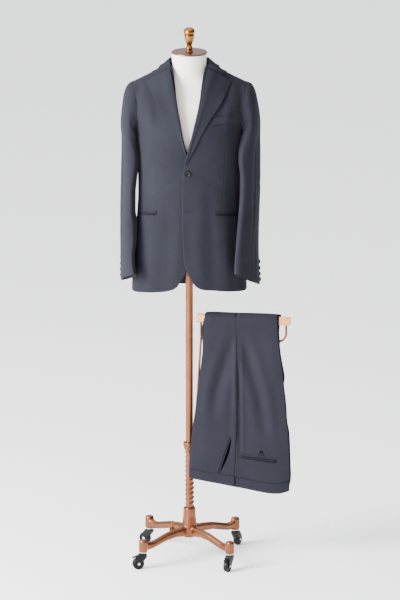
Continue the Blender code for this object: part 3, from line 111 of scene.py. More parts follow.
class SuitStandSettings(bpy.types.PropertyGroup):
    form_colour: colour_setting("Form", "Colour of the form's jersey cover", "#F3EADC")
    bronze_colour: colour_setting("Bronze", "Colour of the stand's plated bronze", "#7C4A2E")
    wood_colour: colour_setting("Bar", "Colour of the bar's beech", "#D68F5D")
    spring_wire: bpy.props.FloatProperty(
        name="Spring wire", description="Radius of the column spring's wire", default=0.0019, min=0.0005,
        max=0.002, unit="LENGTH",
    )
    spring_turns: bpy.props.IntProperty(
        name="Spring turns", description="How many turns the column spring has", default=12, min=4, max=20,
    )


# ---------------------------------------------------------------- materials

def add_node(tree, kind, settings=None, **links):
    """A node with its settings, and its inputs set to values or linked from other nodes' outputs."""
    made = tree.nodes.new(kind)
    for name, value in (settings or {}).items():
        setattr(made, name, value)
    for name, value in links.items():
        socket = made.inputs[int(name[1:])] if name[1:].isdigit() else made.inputs[name.replace("_", " ")]
        if isinstance(value, bpy.types.NodeSocket):
            tree.links.new(value, socket)
        else:
            socket.default_value = value
    return made


def new_material(name, base, roughness, metallic=0.0, **sockets):
    """A Principled material; sockets are further values set on the shader itself."""
    made = bpy.data.materials.new(name)
    made.use_nodes = True
    shader = made.node_tree.nodes["Principled BSDF"]
    shader.inputs["Base Color"].default_value = (*base, 1.0)
    shader.inputs["Roughness"].default_value = roughness
    shader.inputs["Metallic"].default_value = metallic
    for socket, value in sockets.items():
        shader.inputs[socket.replace("_", " ")].default_value = value
    return made, made.node_tree, shader


def tinted(base, factor):
    return (*[min(1.0, part * factor) for part in base], 1.0)


def ramp(tree, source, low, high, first=0.3, last=0.7):
    made = add_node(tree, "ShaderNodeValToRGB", i0=source)
    stops = made.color_ramp.elements
    stops[0].position, stops[1].position = first, last
    stops[0].color, stops[1].color = low, high
    return made.outputs["Color"]


def bump(tree, shader, height, strength, distance):
    made = add_node(tree, "ShaderNodeBump", Height=height, Strength=strength, Distance=distance)
    tree.links.new(made.outputs["Normal"], shader.inputs["Normal"])


def object_place(tree):
    return add_node(tree, "ShaderNodeTexCoord").outputs["Object"]


def noise(tree, place, scale, detail, **more):
    made = add_node(tree, "ShaderNodeTexNoise", Vector=place, Scale=scale, Detail=detail, **more)
    return made.outputs["Fac"]


def stripes(tree, place, apart, **more):
    """Soft stripes across X, some distance apart: at scale 1 the texture has 3.18 of them in a metre."""
    scale = 1.0 / (3.18 * apart)
    made = add_node(tree, "ShaderNodeTexWave", {"bands_direction": "X"}, Vector=place, Scale=scale, **more)
    return made.outputs["Fac"]


def multiplied(tree, first, second):
    settings = {"data_type": "RGBA", "blend_type": "MULTIPLY"}
    return add_node(tree, "ShaderNodeMix", settings, i0=1.0, i6=first, i7=second).outputs[2]


def sum_of(tree, first, share, second):
    """The first value times a share, plus the second."""
    made = add_node(tree, "ShaderNodeMath", {"operation": "MULTIPLY_ADD"}, i0=first, i1=share, i2=second)
    return made.outputs["Value"]


def paint(tree, shader, shade):
    tree.links.new(shade, shader.inputs["Base Color"])


def worsted(name, base):
    """Worsted wool: matt, with a soft nap at grazing angles and a fine twill line.

    The real twill is 0.6 mm apart, too fine to show, so it is drawn 1.6 mm apart and very shallow.
    """
    twill = 0.0016
    made, tree, shader = new_material(
        name, base, 0.82, Sheen_Weight=0.04, Sheen_Roughness=0.5, Specular_IOR_Level=0.12, IOR=1.45,
    )
    shader.inputs["Sheen Tint"].default_value = (0.66, 0.67, 0.76, 1.0)
    place = object_place(tree)
    turned = add_node(tree, "ShaderNodeMapping", Vector=place, Rotation=(0.0, math.radians(52.0), 0.0))
    lines = stripes(tree, turned.outputs["Vector"], twill, Distortion=0.4, Detail=1.0)
    fibre = noise(tree, place, 900.0, 3.0, Roughness=0.6)
    shade = noise(tree, place, 9.0, 4.0, Roughness=0.55)
    mottled = ramp(tree, shade, tinted(base, 0.90), tinted(base, 1.09))
    flecked = ramp(tree, fibre, (0.82, 0.82, 0.84, 1.0), (1.0, 1.0, 1.0, 1.0), 0.2, 0.75)
    paint(tree, shader, multiplied(tree, mottled, flecked))
    bump(tree, shader, sum_of(tree, fibre, 0.6, lines), 0.35, 0.00012)
    return made


def polished_button(name, base):
    """Dyed horn-look resin, tumbled to a soft shine, with small cloudy streaks."""
    made, tree, shader = new_material(
        name, base, 0.40, Specular_IOR_Level=0.2, Coat_Weight=0.05, Coat_Roughness=0.2,
    )
    cloud = noise(tree, object_place(tree), 180.0, 3.0, Distortion=1.2)
    paint(tree, shader, ramp(tree, cloud, tinted(base, 0.6), tinted(base, 1.9)))
    return made


def jersey(name, base):
    """Cotton jersey stretched over a padded shell: matt, with fine vertical rib lines 2 mm apart."""
    rib = 0.002
    made, tree, shader = new_material(name, base, 0.86, Sheen_Weight=0.15, Sheen_Roughness=0.5)
    place = object_place(tree)
    lines = stripes(tree, place, rib, Distortion=0.3)
    knit = noise(tree, place, 700.0, 2.0)
    tone = noise(tree, place, 14.0, 3.0)
    paint(tree, shader, ramp(tree, tone, tinted(base, 0.94), tinted(base, 1.03)))
    bump(tree, shader, sum_of(tree, knit, 0.5, lines), 0.3, 0.0002)
    return made


def plated_bronze(name, base, roughness):
    """Copper-bronze plate, lacquered: warm, half glossy, darker in patches where it has aged."""
    made, tree, shader = new_material(name, base, roughness, 1.0, Coat_Weight=0.25, Coat_Roughness=0.25)
    place = object_place(tree)
    age = noise(tree, place, 22.0, 5.0, Roughness=0.6)
    paint(tree, shader, ramp(tree, age, tinted(base, 0.78), tinted(base, 1.10)))
    worn = add_node(
        tree, "ShaderNodeMapRange", Value=age, i1=0.3, i2=0.7, i3=roughness + 0.08, i4=roughness - 0.05,
    )
    tree.links.new(worn.outputs["Result"], shader.inputs["Roughness"])
    bump(tree, shader, noise(tree, place, 480.0, 3.0), 0.25, 0.00015)
    return made


def beech(name, base):
    """Planed beech under wax: straight grain along the bar, with short darker flecks."""
    made, tree, shader = new_material(name, base, 0.48, Coat_Weight=0.15, Coat_Roughness=0.3)
    along = add_node(
        tree, "ShaderNodeMapping", Vector=object_place(tree), Rotation=(0.0, 0.0, -BAR_TURN),
        Scale=(6.0, 90.0, 90.0),
    ).outputs["Vector"]
    grain = noise(tree, along, 1.6, 5.0, Roughness=0.6, Distortion=0.4)
    tone = ramp(tree, grain, tinted(base, 0.80), tinted(base, 1.08))
    fleck = noise(tree, along, 14.0, 2.0)
    marks = ramp(tree, fleck, (0.72, 0.62, 0.52, 1.0), (1.0, 1.0, 1.0, 1.0), 0.28, 0.42)
    paint(tree, shader, multiplied(tree, tone, marks))
    bump(tree, shader, grain, 0.2, 0.0002)
    return made


def moulded_nylon(name, base, roughness):
    """Moulded nylon: black with a faint spark-eroded grain from the mould."""
    made, tree, shader = new_material(name, base, roughness, IOR=1.45, Specular_IOR_Level=0.25)
    place = object_place(tree)
    dust = noise(tree, place, 60.0, 4.0)
    paint(tree, shader, ramp(tree, dust, tinted(base, 0.8), tinted(base, 1.8)))
    bump(tree, shader, noise(tree, place, 1200.0, 2.0), 0.3, 0.0001)
    return made


def paper(name):
    """Matt white seamless paper."""
    made, tree, shader = new_material(name, colour("#FDFDFD"), 0.95, Specular_IOR_Level=0.1)
    bump(tree, shader, noise(tree, object_place(tree), 40.0, 4.0), 0.1, 0.0005)
    return made


def plain(name, code, roughness, metallic=0.0, **sockets):
    return new_material(name, colour(code), roughness, metallic, **sockets)[0]


FINISHES = {}


def finish_of(slot):
    """The material of a slot, made the first time that it is asked for."""
    cloth, stand = bpy.context.scene.suit_cloth, bpy.context.scene.suit_stand
    makers = {
        "jacket_cloth": lambda: worsted("jacket worsted", tuple(cloth.jacket_colour)),
        "trouser_cloth": lambda: worsted("trouser worsted", tuple(cloth.trouser_colour)),
        # Near-black: painted shade in the pocket mouths, under the pocket strips and in the buttonhole's
        # slit, and the real colour of the buttons' thread and the button tab's cord
        "painted_shade_and_thread_black": lambda: plain("painted shade and black thread", "#040406", 0.95, Specular_IOR_Level=0.0),
        "button_black": lambda: polished_button("tumbled resin", tuple(cloth.button_colour)),
        "form_cream": lambda: jersey("cotton jersey", tuple(stand.form_colour)),
        "bronze": lambda: plated_bronze("plated bronze", tuple(stand.bronze_colour), 0.34),
        "gold_bronze": lambda: plated_bronze("polished golden bronze", colour("#8F5F2A"), 0.26),
        "cap_bronze": lambda: plated_bronze("brown bronze", colour("#8C5E50"), 0.30),
        "pale_wood": lambda: beech("waxed beech", tuple(stand.wood_colour)),
        "caster_black": lambda: moulded_nylon("black nylon", colour("#09090B"), 0.42),
        "pale_steel": lambda: plain("zinc-plated steel", "#D9D9DC", 0.28, 0.9),
    }
    if slot not in FINISHES:
        FINISHES[slot] = makers[slot]()
    return FINISHES[slot]


# ---------------------------------------------------------------- making pieces

def deselect_all():
    if bpy.context.object and bpy.context.object.mode != "OBJECT":
        bpy.ops.object.mode_set(mode="OBJECT")
    bpy.ops.object.select_all(action="DESELECT")


def pick(piece):
    deselect_all()
    piece.select_set(True)
    bpy.context.view_layer.objects.active = piece


def apply_modifier(piece, kind, **settings):
    pick(piece)
    made = piece.modifiers.new(kind.lower(), kind)
    for name, value in settings.items():
        setattr(made, name, value)
    bpy.ops.object.modifier_apply(modifier=made.name)


def place_in_mesh(piece):
    """Puts an object's place, turn and scale into its mesh."""
    pick(piece)
    bpy.ops.object.transform_apply(location=True, rotation=True, scale=True)


# Where faces of cloth meet more sharply than this, in degrees, the edge stays sharp in the shading
CLOTH_ANGLE = 55.0


def finish(piece, slot, body, *nodes, angle=35.0):
    """Smooths a piece, gives it its finish and its body, and lets it stand for CAD nodes."""
    pick(piece)
    bpy.ops.object.shade_smooth_by_angle(angle=math.radians(angle))
    piece.data.materials.clear()
    piece.data.materials.append(finish_of(slot))
    if body:
        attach(piece, body)
    if nodes:
        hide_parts(*nodes)
    return piece


def copy_of(node, name):
    """A merged copy of a CAD node, with its triangles paired into four-sided faces."""
    piece = bpy.data.objects.new(name, bpy.data.objects[node].data.copy())
    bpy.context.collection.objects.link(piece)
    pick(piece)
    bpy.ops.object.mode_set(mode="EDIT")
    bpy.ops.mesh.select_all(action="SELECT")
    bpy.ops.mesh.remove_doubles(threshold=0.00002)
    bpy.ops.mesh.tris_convert_to_quads(face_threshold=math.radians(50.0), shape_threshold=math.radians(60.0))
    bpy.ops.object.mode_set(mode="OBJECT")
    return piece


def crease_edges(piece, sharper_than, amount):
    """Marks the edges that stay crisp under subdivision: those that bend more than an angle."""
    mesh = piece.data
    faces_of = {}
    for face in mesh.polygons:
        for key in face.edge_keys:
            faces_of.setdefault(key, []).append(face.normal.copy())
    marks = mesh.attributes.get("crease_edge") or mesh.attributes.new("crease_edge", "FLOAT", "EDGE")
    limit = math.cos(math.radians(sharper_than))
    for k, edge in enumerate(mesh.edges):
        normals = faces_of[edge.key]
        bent = len(normals) == 2 and normals[0].dot(normals[1]) < limit
        marks.data[k].value = amount if bent else 0.0


REFINING_ROUNDS = 3


def refined(node, levels, sharper_than=60.0, amount=1.0):
    """A CAD node's copy, rounded by subdivision that still passes through the node's own points."""
    piece = copy_of(node, node + "_fine")
    crease_edges(piece, sharper_than, amount)
    goal = vertices_of(piece)
    cage = goal.copy()
    rounding = piece.modifiers.new("rounding", "SUBSURF")
    rounding.levels = rounding.render_levels = levels
    for _ in range(REFINING_ROUNDS):
        shape = piece.evaluated_get(bpy.context.evaluated_depsgraph_get()).data
        reached = np.empty(3 * len(shape.vertices))
        shape.vertices.foreach_get("co", reached)
        cage += goal - reached.reshape(-1, 3)[:len(goal)]
        set_vertices(piece, cage)
    pick(piece)
    bpy.ops.object.modifier_apply(modifier=rounding.name)
    return piece


def edges_eased(node, width, segments=2, angle=35.0):
    """A CAD node's copy with its sharp edges rounded over."""
    piece = copy_of(node, node + "_fine")
    apply_modifier(
        piece, "BEVEL", width=width, segments=segments, limit_method="ANGLE", angle_limit=math.radians(angle),
    )
    return piece


def lathe(name, rows, sides=64, place=None):
    """A turned piece, from (radius, height) rows: a circle extruded and resized row by row."""
    deselect_all()
    radius, height = rows[0]
    start = (0.0, 0.0, height)
    bpy.ops.mesh.primitive_circle_add(vertices=sides, radius=radius, location=start, fill_type="NGON")
    piece = bpy.context.object
    piece.name = name
    place_in_mesh(piece)
    bpy.ops.object.mode_set(mode="EDIT")
    bpy.ops.mesh.select_all(action="SELECT")
    for wide, high in rows[1:]:
        bpy.ops.mesh.extrude_region_move(TRANSFORM_OT_translate={"value": (0.0, 0.0, high - height)})
        share = wide / radius
        bpy.ops.transform.resize(value=(share, share, 1.0), center_override=(0.0, 0.0, high))
        radius, height = wide, high
    bpy.ops.mesh.select_all(action="SELECT")
    bpy.ops.mesh.normals_make_consistent(inside=False)
    bpy.ops.object.mode_set(mode="OBJECT")
    if place is not None:
        piece.matrix_world = place
        place_in_mesh(piece)
    return piece


def tube(name, points, radius):
    """A round wire through points, closed at its ends, as a mesh."""
    curve = bpy.data.curves.new(name, "CURVE")
    curve.dimensions = "3D"
    curve.bevel_depth = radius
    curve.bevel_resolution = 3
    curve.use_fill_caps = True
    line = curve.splines.new("POLY")
    line.points.add(len(points) - 1)
    for spot, point in zip(line.points, points):
        spot.co = (*point, 1.0)
    piece = bpy.data.objects.new(name, curve)
    bpy.context.collection.objects.link(piece)
    pick(piece)
    bpy.ops.object.convert(target="MESH")
    return bpy.context.object


def standing(place, axis):
    """A matrix at a place with an axis as +Z."""
    return Matrix.Translation(place) @ axis.to_track_quat("Z", "Y").to_matrix().to_4x4()


def joined(pieces):
    pick(pieces[0])
    for piece in pieces[1:]:
        piece.select_set(True)
    bpy.ops.object.join()
    return bpy.context.object


# ---------------------------------------------------------------- soft folds

def soft_step(low, high, value):
    share = np.clip((value - low) / (high - low), 0.0, 1.0)
    return share * share * (3.0 - 2.0 * share)


def fold_height(flat, folds):
    """How far the cloth stands up at (across, up) places, from folds of (route, width, depth).

    A positive depth is a trough between two low shoulders, a negative one a ridge. Both die out
    at their route's ends.
    """
    height = np.zeros(len(flat))
    for route, width, depth in folds:
        route = np.array(route)
        spans = np.linalg.norm(np.diff(route, axis=0), axis=1)
        run, near, share = 0.0, np.full(len(flat), 1e9), np.zeros(len(flat))
        for start, end, span in zip(route, route[1:], spans):
            way = (end - start) / span
            along = np.clip((flat - start) @ way, 0.0, span)
            gap = np.linalg.norm(flat - start - along[:, None] * way, axis=1)
            closer = gap < near
            near = np.where(closer, gap, near)
            share = np.where(closer, (run + along) / spans.sum(), share)
            run += span
        fade = np.clip(4.0 * share * (1.0 - share), 0.0, 1.0) ** 0.7
        trough = np.exp(-(near / width) ** 2)
        shoulder = 0.35 * np.exp(-((near - 2.0 * width) / (0.9 * width)) ** 2)
        height += depth * fade * (shoulder - trough)
    return height


def unevenness(across, up, size):
    """Slow, slight waves, so that no stretch of cloth is perfectly flat."""
    waves = ((17.0, 7.0, 0.4), (-11.0, 15.0, 1.9), (29.0, -9.0, 4.1), (5.0, 31.0, 2.7))
    return size * sum(np.sin(a * across + b * up + c) for a, b, c in waves) / len(waves)


def vertices_of(piece):
    flat = np.empty(3 * len(piece.data.vertices))
    piece.data.vertices.foreach_get("co", flat)
    return flat.reshape(-1, 3)


def set_vertices(piece, places):
    piece.data.vertices.foreach_set("co", places.ravel())
    piece.data.update()


# Folds on the jacket's front and back, as (across, up) routes from the pole's axis, width, depth
FRONT_FOLDS = (
    # the front darts, from the chest to the pockets
    (((-0.130, 1.452), (-0.123, 1.350), (-0.116, 1.222)), 0.0022, 0.0007),
    (((0.122, 1.440), (0.116, 1.350), (0.108, 1.222)), 0.0022, 0.0006),
    # drape in front of the armholes
    (((-0.150, 1.590), (-0.146, 1.520), (-0.152, 1.440), (-0.150, 1.360)), 0.0120, 0.0030),
    (((0.148, 1.590), (0.146, 1.510), (0.153, 1.430), (0.151, 1.350)), 0.0120, 0.0034),
    # pull from the button to the waist's sides
    (((0.012, 1.346), (0.060, 1.362), (0.118, 1.392)), 0.0090, 0.0011),
    (((0.010, 1.336), (0.056, 1.322), (0.112, 1.288)), 0.0100, 0.0012),
    (((-0.026, 1.346), (-0.066, 1.366), (-0.122, 1.396)), 0.0090, 0.0010),
    (((-0.024, 1.334), (-0.060, 1.312), (-0.104, 1.270)), 0.0100, 0.0011),
    # the skirt's soft vertical folds
    (((0.062, 1.300), (0.070, 1.180), (0.078, 1.040), (0.084, 0.900)), 0.0170, 0.0026),
    (((0.136, 1.330), (0.142, 1.200), (0.147, 1.060), (0.152, 0.900)), 0.0120, 0.0034),
    (((-0.066, 1.290), (-0.072, 1.160), (-0.084, 1.030), (-0.092, 0.900)), 0.0180, 0.0023),
    (((-0.140, 1.330), (-0.146, 1.190), (-0.149, 1.050), (-0.153, 0.900)), 0.0120, 0.0030),
    (((0.024, 1.200), (0.028, 1.090), (0.036, 0.950)), 0.0150, -0.0014),
    (((-0.030, 1.190), (-0.034, 1.080), (-0.046, 0.950)), 0.0150, -0.0013),
)
BACK_FOLDS = (
    # long drape from the shoulder blades to the waist, then the skirt's folds
    (((0.072, 1.560), (0.084, 1.450), (0.078, 1.340), (0.070, 1.240)), 0.0170, 0.0024),
    (((-0.078, 1.565), (-0.088, 1.455), (-0.076, 1.330), (-0.066, 1.230)), 0.0170, 0.0026),
    (((0.140, 1.560), (0.138, 1.480), (0.144, 1.400)), 0.0110, 0.0028),
    (((-0.142, 1.560), (-0.138, 1.470), (-0.146, 1.390)), 0.0110, 0.0031),
    (((0.030, 1.270), (0.062, 1.255), (0.110, 1.262)), 0.0110, 0.0015),
    (((-0.026, 1.262), (-0.064, 1.250), (-0.116, 1.260)), 0.0110, 0.0016),
    (((0.058, 1.190), (0.066, 1.080), (0.070, 0.890)), 0.0170, 0.0026),
    (((-0.050, 1.200), (-0.060, 1.070), (-0.064, 0.890)), 0.0170, 0.0024),
    (((0.126, 1.240), (0.136, 1.090), (0.140, 0.890)), 0.0130, 0.0030),
    (((-0.122, 1.240), (-0.132, 1.100), (-0.138, 0.890)), 0.0130, 0.0028),
    # the centre seam, pressed flat
    (((0.000, 1.665), (0.000, 1.300), (0.000, 0.880)), 0.0016, 0.0005),
)
# The middle of each sleeve, as (height, across from the pole's axis, depth)
SLEEVE_MIDDLE = {
    "left": ((0.973, 0.1903, -0.070), (1.10, 0.1910, -0.059), (1.20, 0.1966, -0.036), (1.30, 0.2008, -0.027),
             (1.39, 0.2002, -0.029), (1.443, 0.2040, -0.012), (1.50, 0.1960, 0.000)),
    "right": ((0.973, -0.2000, -0.047), (1.10, -0.2040, -0.023), (1.20, -0.2024, -0.013),
              (1.30, -0.2007, -0.008), (1.39, -0.1998, -0.005), (1.440, -0.2005, -0.004),
              (1.50, -0.1960, 0.000)),
}
SLEEVE_RADIUS = 0.045
# How far a sleeve's inner side is pressed towards the body, at heights going up
SLEEVE_PRESS = {
    "left": ((1.330, 0.0), (1.380, 0.004), (1.420, 0.007), (1.500, 0.006), (1.530, 0.0)),
    "right": ((1.060, 0.0), (1.100, 0.005), (1.165, 0.005), (1.195, 0.0), (1.265, 0.0), (1.310, 0.004),
              (1.350, 0.008), (1.400, 0.010), (1.440, 0.008), (1.500, 0.006), (1.530, 0.0)),
}
# Folds round a sleeve, as (arc from its outer side towards the front, height) routes
SLEEVE_FOLDS = (
    (((0.012, 1.500), (0.020, 1.380), (0.014, 1.250)), 0.0110, 0.0024),
    (((0.046, 1.460), (0.052, 1.340), (0.044, 1.220), (0.040, 1.080)), 0.0100, 0.0026),
    (((0.078, 1.272), (0.050, 1.252), (0.018, 1.258)), 0.0080, 0.0016),
    (((0.080, 1.232), (0.046, 1.212), (0.008, 1.222)), 0.0090, 0.0017),
    (((-0.030, 1.400), (-0.038, 1.280), (-0.034, 1.120)), 0.0110, 0.0020),
    (((-0.066, 1.300), (-0.040, 1.276), (-0.012, 1.290)), 0.0090, 0.0013),
    (((0.006, 1.150), (0.010, 1.060), (0.004, 0.970)), 0.0130, 0.0016),
)
# Folds on the trousers' front fall, as (along the bar, height) routes
TROUSER_FOLDS = (
    (((-0.020, 0.800), (-0.052, 0.700), (-0.088, 0.580), (-0.100, 0.480)), 0.0170, 0.0068),
    (((-0.012, 0.800), (0.022, 0.690), (0.058, 0.560), (0.078, 0.430)), 0.0160, 0.0070),
    (((-0.021, 0.822), (-0.024, 0.660), (-0.026, 0.500), (-0.031, 0.330)), 0.0075, -0.0022),
    (((-0.017, 0.790), (-0.013, 0.640), (-0.009, 0.500), (-0.008, 0.345)), 0.0062, 0.0040),
    (((0.024, 0.362), (0.026, 0.330), (0.027, 0.296)), 0.0018, 0.0008),
    (((-0.132, 0.640), (-0.146, 0.480), (-0.152, 0.330)), 0.0160, 0.0013),
    (((0.108, 0.640), (0.122, 0.500), (0.126, 0.400)), 0.0130, 0.0014),
)


def fold_jacket(piece):
    """Moves a jacket piece with the folds of the front or the back that it lies on."""
    places = vertices_of(piece)
    across, deep, up = (places - np.array([POLE.x, POLE.y, 0.0])).T
    flat = np.stack([across, up], axis=1)
    depth = bpy.context.scene.suit_cloth.fold_depth
    calm = 1.0 - soft_step(1.600, 1.640, up)
    ahead = soft_step(0.020, 0.060, -deep) * calm
    behind = soft_step(0.020, 0.060, deep) * calm
    slight = unevenness(across, up, 0.0009)
    places[:, 1] -= ahead * (depth * fold_height(flat, FRONT_FOLDS) + slight)
    places[:, 1] += behind * (depth * fold_height(flat, BACK_FOLDS) + slight)
    set_vertices(piece, places)


def fold_sleeve(piece, side):
    """Moves a sleeve piece along its radius with the sleeve's folds."""
    places = vertices_of(piece)
    middle = np.array(SLEEVE_MIDDLE[side])
    up = places[:, 2]
    away = np.stack([
        places[:, 0] - POLE.x - np.interp(up, middle[:, 0], middle[:, 1]),
        places[:, 1] - POLE.y - np.interp(up, middle[:, 0], middle[:, 2]),
    ], axis=1)
    sign = 1.0 if side == "left" else -1.0
    arc = SLEEVE_RADIUS * np.arctan2(-away[:, 1], away[:, 0] * sign)
    length = np.maximum(np.linalg.norm(away, axis=1), 0.004)[:, None]
    depth = bpy.context.scene.suit_cloth.fold_depth
    height = depth * fold_height(np.stack([arc, up], axis=1), SLEEVE_FOLDS)
    height += unevenness(arc * 2.0, up, 0.0008)
    height *= 1.0 - soft_step(1.470, 1.520, up)
    places[:, :2] += away / length * height[:, None]
    press = np.array(SLEEVE_PRESS[side])
    inward = np.interp(up, press[:, 0], press[:, 1])
    places[:, 0] -= sign * soft_step(0.0, 0.014, -sign * away[:, 0]) * inward
    set_vertices(piece, places)


def bar_frame():
    return Matrix.Translation(BAR) @ Matrix.Rotation(BAR_TURN, 4, "Z")


def fold_trousers(piece):
    """Moves a trouser piece with the folds of the front fall, least by the bar's own plane."""
    places = vertices_of(piece)
    turn = np.array(bar_frame().to_3x3())
    own = (places - np.array(BAR)) @ turn
    along, deep, up = own[:, 0], own[:, 1], places[:, 2]
    depth = bpy.context.scene.suit_cloth.fold_depth
    height = depth * fold_height(np.stack([along, up], axis=1), TROUSER_FOLDS)
    slight = unevenness(along, up, 0.0007)
    calm = 1.0 - soft_step(0.800, 0.830, up)
    ahead = soft_step(0.0125, 0.0200, -deep) * calm
    behind = soft_step(0.0140, 0.0200, deep) * calm
    own[:, 1] -= ahead * (height + slight)
    own[:, 1] += behind * slight
    places = own @ turn.T + np.array(BAR)
    set_vertices(piece, places)


def on_cloth(across, up, cloths):
    """The foremost spot and normal of some cloths, seen from the front at a place."""
    found = None
    for cloth in cloths:
        hit, spot, normal, _ = cloth.ray_cast(Vector((across, -1.0, up)), Vector((0.0, 1.0, 0.0)))
        if hit and (found is None or spot.y < found[0].y):
            found = spot, normal
    if found is None:
        raise RuntimeError(f"no cloth at {across:.3f}, {up:.3f}")
    return found


def laid_patch(name, cloths, place, columns, rows, lift, thickness):
    """A small patch on the front of some cloths: place(s, t) gives its (across, up)."""
    deselect_all()
    bpy.ops.mesh.primitive_grid_add(x_subdivisions=columns, y_subdivisions=rows, size=1.0)
    piece = bpy.context.object
    piece.name = name
    for vertex in piece.data.vertices:
        spot, normal = on_cloth(*place(vertex.co.x + 0.5, vertex.co.y + 0.5), cloths)
        vertex.co = spot + normal * lift
    apply_modifier(piece, "SOLIDIFY", thickness=thickness, offset=1.0)
    return piece


# Height of the near-black lines of painted shade at the pockets
PAINTED_SHADE_LINE_HEIGHT = 0.0013


def painted_shade_line(name, node, cloths, columns, drop, lift, thickness):
    """A near-black line of painted shade laid on some cloths, a little below the lower edge of a pocket's
    strip.
    """
    source = copy_of(node, node + "_copy")
    places = vertices_of(source)
    bpy.data.objects.remove(source, do_unlink=True)
    across = places[:, 0]
    first, last = across.min() + 0.001, across.max() - 0.001
    start, end = (places[np.abs(across - edge) < 0.003][:, 2].min() for edge in (first, last))

    def place(s, t):
        return first + (last - first) * s, start + (end - start) * s - drop + PAINTED_SHADE_LINE_HEIGHT * (t - 0.5)

    finish(laid_patch(name, cloths, place, columns, 2, lift, thickness), "painted_shade_and_thread_black", "column")


# ---------------------------------------------------------------- operators

class SuitOperator(bpy.types.Operator):
    """Shared base of the suit's operators"""
    bl_options = {"REGISTER"}


# Each panel's cut before sewing, as (width, length, area in square metres)
TROUSER_CUTS = {"trouser_front_panel": (0.170, 1.020, 0.126), "trouser_back_panel": (0.200, 1.020, 0.150)}
WAISTBAND_CUT = (0.340, 0.034, 0.0108)


class SUIT_OT_jacket(SuitOperator):
    """Finish the jacket's body, sleeves, lapels and collar"""
    bl_idname = "suit.jacket"
    bl_label = "Jacket"

    def execute(self, context):
        for side in SIDES:
            trim = [f"pocket_jet_upper_{side}", f"pocket_jet_lower_{side}"]
            trim += ["breast_welt"] * (side == "left")
            laid = [finish(self.soft(node, 2), "jacket_cloth", "column", node) for node in trim]
            for part in ("jacket_front", "jacket_back", "jacket_side", "lapel"):
                node = f"{part}_{side}"
                piece = finish(self.soft(node, 3), "jacket_cloth", "column", node, angle=CLOTH_ANGLE)
            for part in ("sleeve_top", "sleeve_under"):
                node = f"{part}_{side}"
                piece = refined(node, 3)
                fold_sleeve(piece, side)
                finish(piece, "jacket_cloth", "column", node, angle=CLOTH_ANGLE)
            self.pocket_painted_shade_lines(side)
        collar = self.soft("jacket_collar", 3)
        finish(collar, "jacket_cloth", "column", "jacket_collar", angle=CLOTH_ANGLE)
        return {"FINISHED"}

    @staticmethod
    def pocket_painted_shade_lines(side):
        """Near-black lines of painted shade: one for the mouth between a hip pocket's two jets, and one for
        the shadow line under the lower one.
        """
        cloths = [bpy.data.objects[f"jacket_{part}_{side}_fine"] for part in ("front", "side")]
        for row in ("upper", "lower"):
            painted_shade_line(f"pocket_slit_{row}_{side}", f"pocket_jet_{row}_{side}", cloths, 24, 0.0008, 0.0038, 0.0006)

    @staticmethod
    def soft(node, levels):
        piece = refined(node, levels)
        fold_jacket(piece)
        return piece


# A button's outline, as shares of its radius and its thickness
BUTTON_PROFILE = (
    (0.84, 0.0), (0.94, 0.12), (1.0, 0.45), (0.985, 0.75), (0.93, 0.97), (0.84, 1.0), (0.76, 0.93),
    (0.68, 0.72), (0.30, 0.68),
)
BUTTON_HOLE = 0.0009
BUTTON_HOLE_SPREAD = 0.22


def button(node):
    """A four-hole button where its CAD node lies: a rimmed disc, with its thread in the holes."""
    source = copy_of(node, node + "_copy")
    places = vertices_of(source)
    bpy.data.objects.remove(source, do_unlink=True)
    middle = (places.min(axis=0) + places.max(axis=0)) / 2
    values, axes = np.linalg.eigh(np.cov((places - middle).T))
    normal = Vector(axes[:, int(np.argmin(values))])
    if normal.y > 0.3 or abs(normal.y) <= 0.3 and normal.dot(Vector(middle) - POLE) < 0.0:
        normal = -normal
    spans = (places - middle) @ np.array(normal)
    low, high = spans.min(), spans.max()
    flat_places = (places - middle) - spans[:, None] * np.array(normal)
    radius = float(np.linalg.norm(flat_places, axis=1).max())
    thick = float(high - low)
    place = standing(Vector(middle) + normal * float(low), normal)
    disc = lathe(node + "_fine", [(radius * r, thick * z) for r, z in BUTTON_PROFILE], 48)
    spread = radius * BUTTON_HOLE_SPREAD
    drills, threads = [], []
    for x in (-spread, spread):
        for y in (-spread, spread):
            deselect_all()
            bpy.ops.mesh.primitive_cylinder_add(
                vertices=16, radius=BUTTON_HOLE, depth=thick * 3, location=(x, y, thick * 0.5),
            )
            drills.append(bpy.context.object)
    drill = joined(drills)
    place_in_mesh(drill)
    apply_modifier(disc, "BOOLEAN", operation="DIFFERENCE", solver="EXACT", object=drill)
    bpy.data.objects.remove(drill, do_unlink=True)
    for y in (-spread, spread):
        arch = [
            Vector((spread * math.cos(a), y, thick * (0.30 + 0.52 * math.sin(a))))
            for a in (math.pi * k / 10 for k in range(11))
        ]
        threads.append(tube(node + "_thread", arch, BUTTON_HOLE * 0.62))
    thread = joined(threads)
    for piece in (disc, thread):
        piece.matrix_world = place
        place_in_mesh(piece)
    return disc, thread


